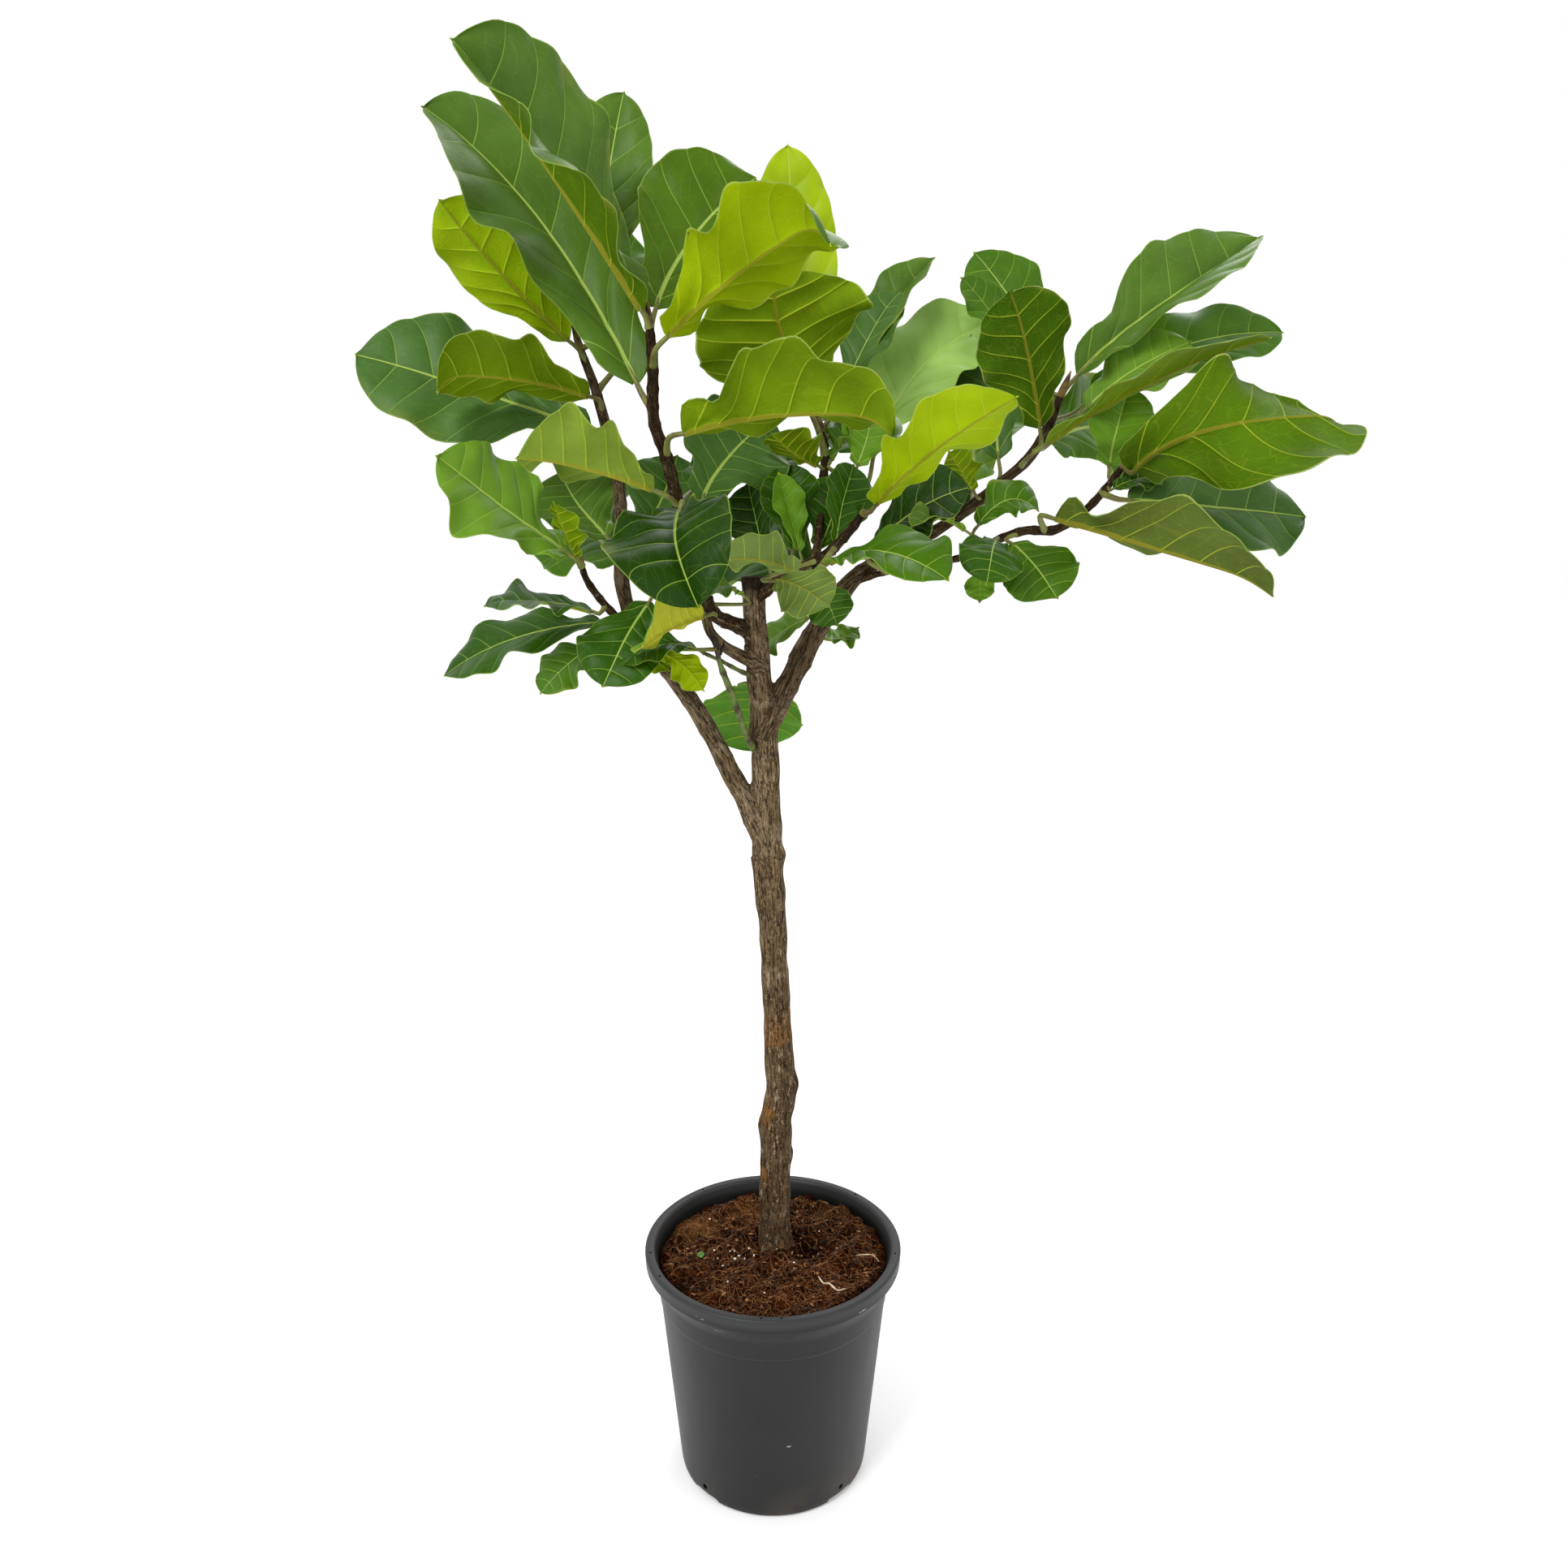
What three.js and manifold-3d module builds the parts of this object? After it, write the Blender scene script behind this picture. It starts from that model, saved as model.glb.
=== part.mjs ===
// A potted fiddle leaf fig: a grower's plastic pot, its soil, a branched woody trunk and large leaves.
// Millimetres, +Z up. The origin is the middle of the pot's foot, on the floor.
// +X is to the viewer's right and -Y is toward the viewer.
import * as THREE from 'three';
import { mergeVertices } from 'three/addons/utils/BufferGeometryUtils.js';
import Module from 'manifold-3d';

const wasm = await Module();
wasm.setup();

// ---- Driving dimensions -------------------------------------------------------------------------
const SEAT_GAP = 0.3;          // clearance left between pieces that touch
const SLIVER = 0.2;            // edges that a cut leaves shorter than this are closed up

const POT_HEIGHT = 260;
const RIM_RADIUS = 135;        // outside of the rolled lip
const LIP_DEPTH = 18;          // height of the lip's outer skirt
const LIP_WIDTH = 11;          // flat top of the lip
const WALL = 3;
const BASE_RADIUS = 100;       // outside of the foot
const FOOT_RECESS = 7;         // height of the base floor above the ground
const CENTRE_FOOT_RADIUS = 32; // flat pad under the middle
const NOTCH_WIDTH = 34;        // arches in the foot ring
const NOTCH_COUNT = 4;
const DRAIN_RADIUS = 3;        // a small hole through the wall's foot above each arch
const DRAIN_LIFT = 0.5;        // from the base floor up to the hole
const POT_SIDES = 36;

const SOIL_TOP = 243;
const SOIL_ROUGHNESS = 3.5;
const SOIL_SIDES = 28;

const BLADE_THICKNESS = 1.1;
const BLADE_STEPS = 6;         // stations along a leaf
const BLADE_COLUMNS = 4;       // strips across a leaf
const BLADE_LEAST_HALF = 2;    // half width kept at the blade's two ends
const RIPPLES = 3;             // waves along a margin
const PETIOLE_ROOT_RADIUS = 3;
const PETIOLE_TOP_RADIUS = 1.8;
const PETIOLE_SIDES = 5;
const PETIOLE_STEPS = 4;
const PETIOLE_IN_BLADE = 0.06; // share of the blade's length that the leaf stalk runs under
const BLADE_CURL = -20;        // further bend of each half out to its margin, in degrees
const BLADE_RIPPLE = 4;        // height of the margin's ripple
const HOOK_START = 0.76;       // where along the midrib the hook begins
const MIDRIB_SUBSTEPS = 5;
const BOX_BACK = 5;            // place of the back among a box's six faces
const CORNERS_PER_CELL = 6;    // two triangles

// ---- Wood: each route is a list of [x, y, z, radius] from the root end to the tip ----------------
const WOOD = {
  trunk: {
    sides: 10,
    steps: 22,
    route: [
      [2, 22, 228, 21], [2, 22, 250, 18], [2, 21, 300, 16], [4, 20, 390, 16.5], [8, 20, 428, 15.5],
      [5, 20, 500, 14], [2, 20, 580, 14], [-2, 18, 640, 15], [-5, 18, 685, 15.5], [-6, 15, 755, 14],
      [-8, 13, 820, 13], [-14, 9, 885, 11.5], [-18, 4, 960, 10.5],
    ],
  },
  left_limb: {
    sides: 7,
    steps: 18,
    route: [
      [-8, 17, 690, 9], [-20, 14, 726, 10.5], [-37, 12, 764, 9.5], [-59, 10, 808, 9],
      [-82, 10, 848, 8.5], [-110, 13, 884, 8], [-131, 19, 914, 7.5], [-142, 28, 950, 7],
      [-144, 46, 1032, 6], [-152, 53, 1075, 5.5], [-162, 57, 1118, 5], [-178, 60, 1165, 3.5],
    ],
  },
  left_shoot: {
    sides: 6,
    steps: 8,
    route: [
      [-120, 14, 893, 4.5], [-138, 2, 915, 4], [-156, -8, 937, 3.5], [-170, -15, 960, 3],
      [-174, -18, 975, 2.5],
    ],
  },
  right_limb: {
    sides: 7,
    steps: 18,
    route: [
      [-6, 11, 812, 10], [8, 12, 842, 11.5], [23, 16, 871, 11], [39, 22, 900, 10.5],
      [55, 28, 926, 9.5], [71, 33, 947, 9], [90, 37, 963, 7], [124, 40, 982, 6], [162, 42, 1003, 5.5],
      [192, 42, 1024, 5.5], [218, 38, 1046, 5], [238, 34, 1064, 5], [254, 32, 1090, 5],
      [266, 30, 1122, 3.5],
    ],
  },
  leader_stem: {
    sides: 7,
    steps: 14,
    route: [
      [-15, 8, 900, 7], [-28, 2, 912, 7], [-52, -6, 925, 6.5], [-62, -14, 946, 6],
      [-71, -24, 982, 5.5], [-82, -33, 1026, 5.5], [-93, -38, 1072, 5.5], [-102, -40, 1100, 5],
      [-102, -40, 1150, 5], [-104, -40, 1178, 3.5],
    ],
  },
  centre_stem: {
    sides: 6,
    steps: 10,
    route: [
      [-17, 4, 936, 5.5], [-4, -6, 949, 5.5], [10, -16, 961, 5], [26, -28, 971, 5],
      [42, -42, 979, 4.5], [58, -55, 994, 4.5], [72, -67, 1011, 4], [80, -75, 1023, 3],
    ],
  },
  centre_shoot: {
    sides: 6,
    steps: 10,
    route: [
      [38, -38, 977, 3.5], [43, -14, 997, 3.5], [47, 18, 1026, 4], [49, 36, 1052, 4],
      [50, 44, 1078, 3.5], [46, 46, 1093, 2.5],
    ],
  },
  right_stem: {
    sides: 6,
    steps: 14,
    route: [
      [80, 35, 952, 3.5], [100, 24, 960, 3], [130, 8, 968, 3], [160, -6, 975, 3], [184, -16, 983, 3],
      [208, -20, 997, 3.5], [230, -22, 1004, 4], [256, -24, 1005, 4], [280, -24, 1020, 3.5],
      [298, -22, 1038, 3.5], [316, -20, 1062, 3],
    ],
  },
};

// ---- Leaves --------------------------------------------------------------------------------------
// name, the stem that carries it, the midrib's start, middle and end, the blade's width, then
// turn   turn about the line from start to end, 0 with the upper face toward the viewer
// twist  extra turn from start to end
// fold   how far each half is raised from the midrib
// hook   bend of the last fifth toward the under face, all four in degrees
// node   where on the stem the leaf stalk grows, 0 at the stem's root end and 1 at its tip;
//        left out where that is simply the nearest place
const LEAVES = [
  ['top', 'leader_stem', [-110, -45, 1192], [-181, -85, 1302], [-240, -130, 1380],
    150, 64, -50, 42, 0, 1],
  ['high', 'leader_stem', [-117, -32, 1132], [-201, 10, 1266], [-295, 0, 1361], 156, 33, 34, 29, 5, 0.78],
  ['upright', 'left_limb', [-155, 72, 1195], [-155, 95, 1292], [-138, 120, 1395], 85, 0, 0, 20, 0, 1],
  ['back_pale', 'left_limb', [-188, 52, 1172], [-240, 30, 1225], [-288, 5, 1285], 95, 145, 0, 25, 0, 0.96],
  ['outer', 'left_limb', [-172, 62, 1090], [-285, 70, 1130], [-390, 70, 1160], 130, 20, 0, 14, 0, 0.8],
  ['olive', 'left_limb', [-170, 44, 1122], [-240, 10, 1138], [-302, -15, 1138], 105, 110, 0, 22, 50, 0.88],
  ['middle', 'leader_stem', [-104, -54, 1042], [-160, -75, 1062], [-212, -95, 1070], 115, 107, 0, 30, 0, 0.5],
  ['light', 'left_shoot', [-184, -28, 984], [-235, -45, 1025], [-288, -60, 1070],
    116, 48, 0, 15, 0, 0.97],
  ['front', 'leader_stem', [-79, -66, 1025], [-75, -150, 999], [-57, -200, 961], 124, 4, 0, 40, 13, 0.36],
  ['low_left', 'left_shoot', [-165, -16, 930], [-205, -28, 940], [-258, -40, 943], 85, 70, 0, 14, 20, 0.55],
  ['pale', 'left_limb', [-165, 40, 912], [-255, 50, 893], [-322, 55, 858], 85, 50, 0, 14, 0, 0.48],
  ['small', 'left_shoot', [-156, -14, 899], [-185, -22, 885], [-213, -30, 857], 60, 40, 0, 14, 0, 0.3],
  ['hanging', 'leader_stem', [-113, -8, 938], [-133, -38, 907], [-151, -64, 870],
    78, 10, 0, 10, 0, 0.24],
  ['yellow', 'leader_stem', [-62, -36, 928], [-90, -72, 922], [-110, -102, 912], 75, 105, 0, 30, 0, 0.15],
  ['behind_trunk', 'trunk', [-15, 50, 852], [-20, 90, 815], [-20, 108, 768], 105, 180, 0, 12, 0],
  ['dark_top', 'leader_stem', [-100, -20, 1195], [-72, 20, 1255], [-15, 60, 1312], 130, 10, 0, 14, 0, 0.95],
  ['bright', 'leader_stem', [-86, -62, 1170], [-15, -95, 1225], [55, -130, 1258], 128, -111, 0, 22, 70, 0.89],
  ['lime_behind', 'centre_shoot', [40, 62, 1115], [25, 85, 1225], [15, 95, 1345], 80, 0, 0, 16, 0, 1],
  ['olive_up', 'centre_shoot', [34, 20, 1112], [12, -6, 1168], [0, -30, 1222], 160, 180, 0, 10, 0, 0.84],
  ['broad', 'leader_stem', [-74, -62, 1090], [20, -115, 1106], [105, -150, 1101], 140, -103, 0, 32, 35, 0.64],
  ['blue', 'leader_stem', [-62, -8, 1032], [-42, 30, 1066], [0, 60, 1102], 105, 0, 0, 14, 0, 0.46],
  ['curl_up', 'centre_shoot', [98, 74, 1068], [140, 100, 1145], [212, 112, 1192], 115, -35, 0, 20, 0, 0.62],
  ['narrow', 'centre_shoot', [72, 72, 1122], [110, 100, 1195], [155, 120, 1250], 60, -40, 0, 40, 0, 0.92],
  ['lime_front', 'centre_stem', [90, -96, 1032], [128, -142, 1074], [190, -182, 1118], 95, -116, 0, 22, 0, 1],
  ['deep', 'right_limb', [125, 66, 998], [155, 82, 1022], [192, 94, 1040], 80, -40, 0, 14, 0, 0.55],
  ['low_middle', 'centre_stem', [51, -80, 981], [96, -122, 994], [145, -152, 975], 92, -55, 0, 18, 0],
  ['slim_left', 'centre_stem', [-4, 18, 972], [-14, 34, 1006], [-22, 46, 1042], 60, -30, 0, 35, 0],
  ['slim_right', 'centre_stem', [58, -30, 992], [64, -10, 1022], [75, 12, 1060], 60, 30, 0, 35, 0],
  ['light_low', 'centre_stem', [22, -58, 970], [-10, -85, 985], [-48, -106, 984], 65, 110, 0, 25, 0],
  ['olive_low', 'centre_stem', [5, -74, 965], [25, -98, 962], [49, -116, 949], 58, 160, 0, 12, 0, 0.58],
  ['far_right', 'right_limb', [250, 54, 1152], [230, 90, 1205], [195, 120, 1255], 75, 10, 0, 16, 0, 0.98],
  ['olive_right', 'right_limb', [244, 6, 1094], [227, -25, 1150], [202, -60, 1205], 90, 180, 0, 14, 0, 0.87],
  ['upright_right', 'right_limb', [216, 62, 1065], [214, 85, 1120], [217, 110, 1190], 80, 0, 0, 18, 0, 0.76],
  ['high_right', 'right_limb', [284, 44, 1141], [351, 55, 1198], [457, 96, 1262],
    106, -39, -19, 38, -9, 1],
  ['back_right', 'right_limb', [302, 62, 1122], [390, 100, 1168], [500, 135, 1184], 80, -25, 0, 16, 0, 0.945],
  ['mid_right', 'right_limb', [290, 26, 1112], [335, 36, 1146], [385, 44, 1170], 70, -30, 0, 16, 0, 0.91],
  ['long_right', 'right_limb', [250, 2, 1080], [330, -40, 1134], [420, -66, 1168], 85, -92, 0, 15, 0, 0.83],
  ['big_right', 'right_stem', [321, -39, 1058], [369, -110, 1094], [496, -63, 1104],
    128, -200, -96, 8, -24, 1],
  ['inner_right', 'right_stem', [310, 8, 1060], [320, 35, 1092], [335, 55, 1130], 72, 0, 0, 16, 0, 0.95],
  ['dark_right', 'right_stem', [320, -34, 1032], [399, -10, 1025], [489, 0, 1015],
    122, -34, 0, 14, 0, 0.89],
  ['front_right', 'right_stem', [250, -61, 1017], [316, -116, 1000], [414, -156, 970],
    114, -96, 35, 32, 20, 0.67],
  ['hang_right', 'right_stem', [200, -50, 998], [191, -88, 990], [184, -112, 968], 60, 0, 0, 10, 0, 0.46],
  ['drop_right', 'right_stem', [216, -36, 994], [230, -58, 980], [249, -84, 952], 72, -10, 0, 10, 0, 0.6],
  ['back_high', 'left_limb', [-150, 90, 1172], [-175, 160, 1230], [-205, 235, 1280], 120, 0, 0, 14, 0, 0.92],
  ['back_middle', 'leader_stem', [-70, 28, 1040], [-42, 110, 1065], [-15, 200, 1095], 120, 0, 0, 14, 0],
  ['back_centre', 'centre_shoot', [62, 78, 1072], [84, 160, 1112], [98, 240, 1150], 120, 0, 0, 14, 0, 0.42],
  ['back_tall', 'right_limb', [196, 88, 1045], [206, 170, 1100], [218, 250, 1150], 115, 0, 0, 14, 0, 0.7],
  ['back_far_right', 'right_limb', [268, 78, 1080], [325, 160, 1095], [385, 235, 1085], 125, 0, 0, 14, 0],
  ['back_low', 'right_limb', [32, 68, 945], [0, 140, 965], [-35, 215, 980], 125, 0, 0, 14, 0],
  ['back_left', 'left_limb', [-148, 68, 970], [-185, 140, 990], [-218, 215, 1000], 125, 0, 0, 14, 0],
];

// ---- Small helpers -------------------------------------------------------------------------------
const radians = (degrees) => (degrees * Math.PI) / 180;
const vector = (place) => new THREE.Vector3(place[0], place[1], place[2]);

function toSolid(geometry) {
  const bare = geometry.clone();
  bare.deleteAttribute('normal');
  bare.deleteAttribute('uv');
  const merged = mergeVertices(bare, 1e-4);
  return new wasm.Manifold(new wasm.Mesh({
    numProp: 3,
    vertProperties: new Float32Array(merged.attributes.position.array),
    triVerts: new Uint32Array(merged.index.array),
  }));
}

function toGeometry(solid) {
  const { vertProperties, triVerts } = solid.getMesh();
  const geometry = new THREE.BufferGeometry();
  geometry.setAttribute('position', new THREE.BufferAttribute(vertProperties, 3));
  geometry.setIndex(new THREE.BufferAttribute(triVerts, 1));
  geometry.computeVertexNormals();
  return geometry;
}

// A cut can leave crumbs and slivers: the piece is the largest part of what remains, cleaned.
function largestPart(solid) {
  const parts = solid.decompose();
  const largest = parts.reduce((best, part) => (part.volume() > best.volume() ? part : best));
  return largest.asOriginal().simplify(SLIVER);
}

function movePoints(geometry, place) {
  const points = geometry.attributes.position;
  const point = new THREE.Vector3();
  for (let i = 0; i < points.count; i += 1) {
    point.fromBufferAttribute(points, i);
    place(point);
    points.setXYZ(i, point.x, point.y, point.z);
  }
  return geometry;
}

// A box's front and back are split into triangles along crossed diagonals. The back is split again
// like the front, so that a thin block keeps its thickness wherever it is bent or twisted.
function matchBackToFront(slab) {
  const corners = slab.index.array;
  const back = slab.groups[BOX_BACK];
  for (let i = back.start; i < back.start + back.count; i += CORNERS_PER_CELL) {
    const [a, b, d, , c] = corners.slice(i, i + CORNERS_PER_CELL);
    corners.set([a, b, c, a, c, d], i);
  }
  return slab;
}

// A round tube along a curve whose radius follows radiusAt(t): a cylinder's points laid on the curve.
function taperedTube(curve, radiusAt, sides, steps) {
  const frames = curve.computeFrenetFrames(steps, false);
  const rod = new THREE.CylinderGeometry(1, 1, 1, sides, steps);
  return movePoints(rod, (point) => {
    const station = Math.round((point.y + 0.5) * steps);
    const t = station / steps;
    const centre = curve.getPointAt(t);
    const radius = radiusAt(t);
    const across = frames.normals[station].clone().multiplyScalar(point.z * radius);
    const aside = frames.binormals[station].clone().multiplyScalar(point.x * radius);
    point.copy(centre).add(across).add(aside);
  });
}

// ---- Pot and soil --------------------------------------------------------------------------------
const innerRim = RIM_RADIUS - LIP_WIDTH;
const skirtFoot = POT_HEIGHT - LIP_DEPTH;
const shoulder = innerRim - 1;       // outside of the wall where it meets the lip
const edgeRound = 1.5;               // small bevels along the lip
const footTaper = 3;                 // bevel around the foot
const footRingWidth = 12;
const floorCorner = 6;               // slope where the floor meets the wall
const floorTop = FOOT_RECESS + WALL;

function wallRadius(z) {
  return BASE_RADIUS + ((shoulder - BASE_RADIUS) * z) / skirtFoot;
}

function buildPot() {
  const ringInner = BASE_RADIUS - footRingWidth;
  const outline = [
    [0, 0],
    [CENTRE_FOOT_RADIUS, 0],
    [CENTRE_FOOT_RADIUS + 2, FOOT_RECESS],
    [ringInner, FOOT_RECESS],
    [ringInner + 2, 0],
    [BASE_RADIUS - footTaper, 0],
    [wallRadius(footTaper), footTaper],
    [wallRadius(skirtFoot), skirtFoot],
    [RIM_RADIUS - edgeRound, skirtFoot],
    [RIM_RADIUS, skirtFoot + edgeRound],
    [RIM_RADIUS, POT_HEIGHT - edgeRound],
    [RIM_RADIUS - edgeRound, POT_HEIGHT],
    [innerRim + edgeRound, POT_HEIGHT],
    [innerRim, POT_HEIGHT - edgeRound],
    [wallRadius(skirtFoot) - WALL, skirtFoot - WALL],
    [wallRadius(floorTop + floorCorner) - WALL, floorTop + floorCorner],
    [wallRadius(floorTop) - WALL - floorCorner, floorTop],
    [0, floorTop],
  ];
  const profile = outline.map(([radius, z]) => new THREE.Vector2(radius, z));
  const shell = new THREE.LatheGeometry(profile, POT_SIDES).rotateX(Math.PI / 2);
  const cutDepth = 2.5 * footRingWidth;
  let pot = toSolid(shell);
  for (let i = 0; i < NOTCH_COUNT; i += 1) {
    const heading = ((i + 0.5) * 2 * Math.PI) / NOTCH_COUNT;
    const notch = new THREE.BoxGeometry(cutDepth, NOTCH_WIDTH, 2 * (FOOT_RECESS - 1));
    notch.translate(BASE_RADIUS, 0, 0).rotateZ(heading);
    pot = pot.subtract(toSolid(notch));
    const drain = new THREE.CylinderGeometry(DRAIN_RADIUS, DRAIN_RADIUS, cutDepth, 10);
    drain.rotateZ(Math.PI / 2).translate(BASE_RADIUS, 0, floorTop + DRAIN_RADIUS + DRAIN_LIFT);
    drain.rotateZ(heading);
    pot = pot.subtract(toSolid(drain));
  }
  return pot;
}

// The soil's top: two crossing waves of unlike length, rough but with no pattern to see.
function soilHeight(x, y) {
  const broad = Math.sin(x * 0.09 + 1) * Math.cos(y * 0.08);
  const fine = Math.sin(x * 0.19 - y * 0.16);
  return SOIL_TOP + SOIL_ROUGHNESS * (broad + 0.6 * fine);
}

function buildSoil(trunkHole) {
  const wallGap = WALL + SEAT_GAP;
  const faceting = 1;                // room for the flats of the two round pieces
  const edgeDrop = 8;                // the soil sinks this much at the wall
  const topRadius = wallRadius(SOIL_TOP - edgeDrop) - wallGap - faceting;
  const low = floorTop + SEAT_GAP;
  const rings = [0.85, 0.6, 0.35];
  const outline = [
    [0, low],
    [wallRadius(low) - wallGap - floorCorner - 2 * faceting, low],
    [wallRadius(low + floorCorner) - wallGap - 2 * faceting, low + floorCorner],
    [topRadius, SOIL_TOP - edgeDrop],
    ...rings.map((share) => [topRadius * share, SOIL_TOP]),
    [0, SOIL_TOP],
  ];
  const profile = outline.map(([radius, z]) => new THREE.Vector2(radius, z));
  const heap = new THREE.LatheGeometry(profile, SOIL_SIDES).rotateX(Math.PI / 2);
  movePoints(heap, (point) => {
    if (point.z > SOIL_TOP - 1) {
      point.z = soilHeight(point.x, point.y);
    }
  });
  return largestPart(toSolid(heap).subtract(trunkHole));
}

// ---- Wood ----------------------------------------------------------------------------------------
function woodCurve({ route }) {
  return new THREE.CatmullRomCurve3(route.map(vector), false, 'centripetal');
}

function woodTube(row, grow) {
  const curve = woodCurve(row);
  const spans = row.route.length - 1;
  const radiusAt = (share) => {
    const place = curve.getUtoTmapping(share) * spans;
    const before = Math.min(Math.floor(place), spans - 1);
    const radius = THREE.MathUtils.lerp(row.route[before][3], row.route[before + 1][3], place - before);
    return radius + grow;
  };
  return toSolid(taperedTube(curve, radiusAt, row.sides, row.steps));
}

// ---- Leaves --------------------------------------------------------------------------------------
// Half the width at t, as a share of the widest half: broad past the middle, drawn in like a
// fiddle's waist near the stalk, with two small lobes at the stalk.
function outlineShare(t) {
  const body = Math.sin(Math.PI * t ** 1.35) ** 0.62;
  const waist = 0.14 * Math.exp(-(((t - 0.27) / 0.11) ** 2));
  const lobes = 0.16 * Math.exp(-(((t - 0.06) / 0.06) ** 2));
  return body - waist + lobes;
}

const VIEW_FROM_ABOVE = radians(15);
const TOWARD_VIEWER = new THREE.Vector3(0, -Math.cos(VIEW_FROM_ABOVE), Math.sin(VIEW_FROM_ABOVE));

// The midrib as stations: place, heading and the upper face's direction, ending in the hook.
function midrib(leaf, count) {
  const chord = leaf.end.clone().sub(leaf.start);
  const along = chord.clone().normalize();
  const face = TOWARD_VIEWER.clone().addScaledVector(along, -TOWARD_VIEWER.dot(along)).normalize();
  face.applyAxisAngle(along, radians(leaf.turn));
  const aside = along.clone().cross(face);
  const control = leaf.middle.clone().multiplyScalar(2).addScaledVector(leaf.start, -0.5);
  control.addScaledVector(leaf.end, -0.5);
  const line = new THREE.QuadraticBezierCurve3(leaf.start, control, leaf.end);
  const length = line.getLength();
  const frameAt = (t) => {
    const tangent = line.getTangentAt(t);
    const upper = aside.clone().cross(tangent).normalize();
    const bend = radians(leaf.hook) * THREE.MathUtils.smoothstep(t, HOOK_START, 1);
    const heading = tangent.clone().multiplyScalar(Math.cos(bend)).addScaledVector(upper, -Math.sin(bend));
    const turned = upper.multiplyScalar(Math.cos(bend)).addScaledVector(tangent, Math.sin(bend));
    turned.applyAxisAngle(heading, radians(leaf.twist) * (t - 0.5));
    return { heading, face: turned, aside: heading.clone().cross(turned) };
  };
  const place = leaf.start.clone();
  const stations = [];
  for (let i = 0; i <= count; i += 1) {
    stations.push({ place: place.clone(), length, ...frameAt(i / count) });
    for (let k = 0; k < MIDRIB_SUBSTEPS && i < count; k += 1) {
      const t = (i + (k + 0.5) / MIDRIB_SUBSTEPS) / count;
      place.addScaledVector(frameAt(t).heading, length / (count * MIDRIB_SUBSTEPS));
    }
  }
  return stations;
}

// A blade is a flat block whose points are laid on the leaf's surface.
function bladeSolid(leaf, stations) {
  const slab = matchBackToFront(new THREE.BoxGeometry(2, 1, 1, BLADE_COLUMNS, BLADE_STEPS, 1));
  const fold = radians(leaf.fold);
  const curl = radians(BLADE_CURL);
  movePoints(slab, (point) => {
    const t = point.y + 0.5;
    const station = stations[Math.round(t * BLADE_STEPS)];
    const side = point.x;
    const reach = Math.abs(side);
    const half = Math.max(outlineShare(t) * leaf.width * 0.5, BLADE_LEAST_HALF);
    const spread = (half * (Math.sin(fold + curl * reach) - Math.sin(fold))) / curl;
    const wave = Math.sin(2 * Math.PI * RIPPLES * t + side) * Math.sin(Math.PI * t);
    const ripple = BLADE_RIPPLE * reach * reach * wave;
    const lift = (half * (Math.cos(fold) - Math.cos(fold + curl * reach))) / curl + ripple;
    const lean = (fold + curl * reach) * Math.sign(side);
    const skin = point.z * BLADE_THICKNESS;
    point.copy(station.place);
    point.addScaledVector(station.aside, spread * Math.sign(side) - skin * Math.sin(lean));
    point.addScaledVector(station.face, lift + skin * Math.cos(lean));
  });
  return toSolid(slab);
}

function nearestOn(curve, place) {
  const marks = curve.getSpacedPoints(80);
  return marks.reduce((best, mark) => (mark.distanceTo(place) < best.distanceTo(place) ? mark : best));
}

function petioleSolid(leaf, stations, stemCurve) {
  const joint = stations[0];
  const root = leaf.node ? stemCurve.getPointAt(leaf.node) : nearestOn(stemCurve, joint.place);
  const reach = root.distanceTo(joint.place);
  const bend = joint.place.clone().addScaledVector(joint.heading, -0.45 * reach);
  const inside = joint.place.clone().addScaledVector(joint.heading, joint.length * PETIOLE_IN_BLADE);
  inside.addScaledVector(joint.face, -0.5);
  const stalk = new THREE.CatmullRomCurve3([root, bend, joint.place, inside], false, 'centripetal');
  const radiusAt = (t) => THREE.MathUtils.lerp(PETIOLE_ROOT_RADIUS, PETIOLE_TOP_RADIUS, t);
  return toSolid(taperedTube(stalk, radiusAt, PETIOLE_SIDES, PETIOLE_STEPS));
}

function buildLeaf(row) {
  const [, stem, start, middle, end, width, turn, twist, fold, hook, node] = row;
  const ends = { start: vector(start), middle: vector(middle), end: vector(end) };
  const leaf = { ...ends, width, turn, twist, fold, hook, node };
  const stations = midrib(leaf, BLADE_STEPS);
  const blade = bladeSolid(leaf, stations);
  const petiole = petioleSolid(leaf, stations, woodCurve(WOOD[stem]));
  return largestPart(blade.add(petiole).subtract(grownWood[stem]));
}

// ---- Assembly ------------------------------------------------------------------------------------
const finishes = {
  pot: { color: 0x2b2c2e, roughness: 0.55, metalness: 0 },
  soil: { color: 0x4a2f20, roughness: 0.95, metalness: 0 },
  bark: { color: 0x5b4c3f, roughness: 0.85, metalness: 0 },
  leaf: { color: 0x3f6b2b, roughness: 0.45, metalness: 0 },
};

const plant = new THREE.Group();

function place(name, solid, finish) {
  const mesh = new THREE.Mesh(toGeometry(solid), new THREE.MeshStandardMaterial(finishes[finish]));
  mesh.name = name;
  plant.add(mesh);
}

const grownWood = {};
const woodNames = Object.keys(WOOD);
for (const name of woodNames) {
  grownWood[name] = woodTube(WOOD[name], SEAT_GAP);
}

place('pot', buildPot(), 'pot');
place('soil', buildSoil(grownWood.trunk), 'soil');

woodNames.forEach((name, index) => {
  let piece = woodTube(WOOD[name], 0);
  for (const earlier of woodNames.slice(0, index)) {
    piece = piece.subtract(grownWood[earlier]);
  }
  place(name, largestPart(piece), 'bark');
});

for (const row of LEAVES) {
  place(`leaf_${row[0]}`, buildLeaf(row), 'leaf');
}

export default plant;
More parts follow.
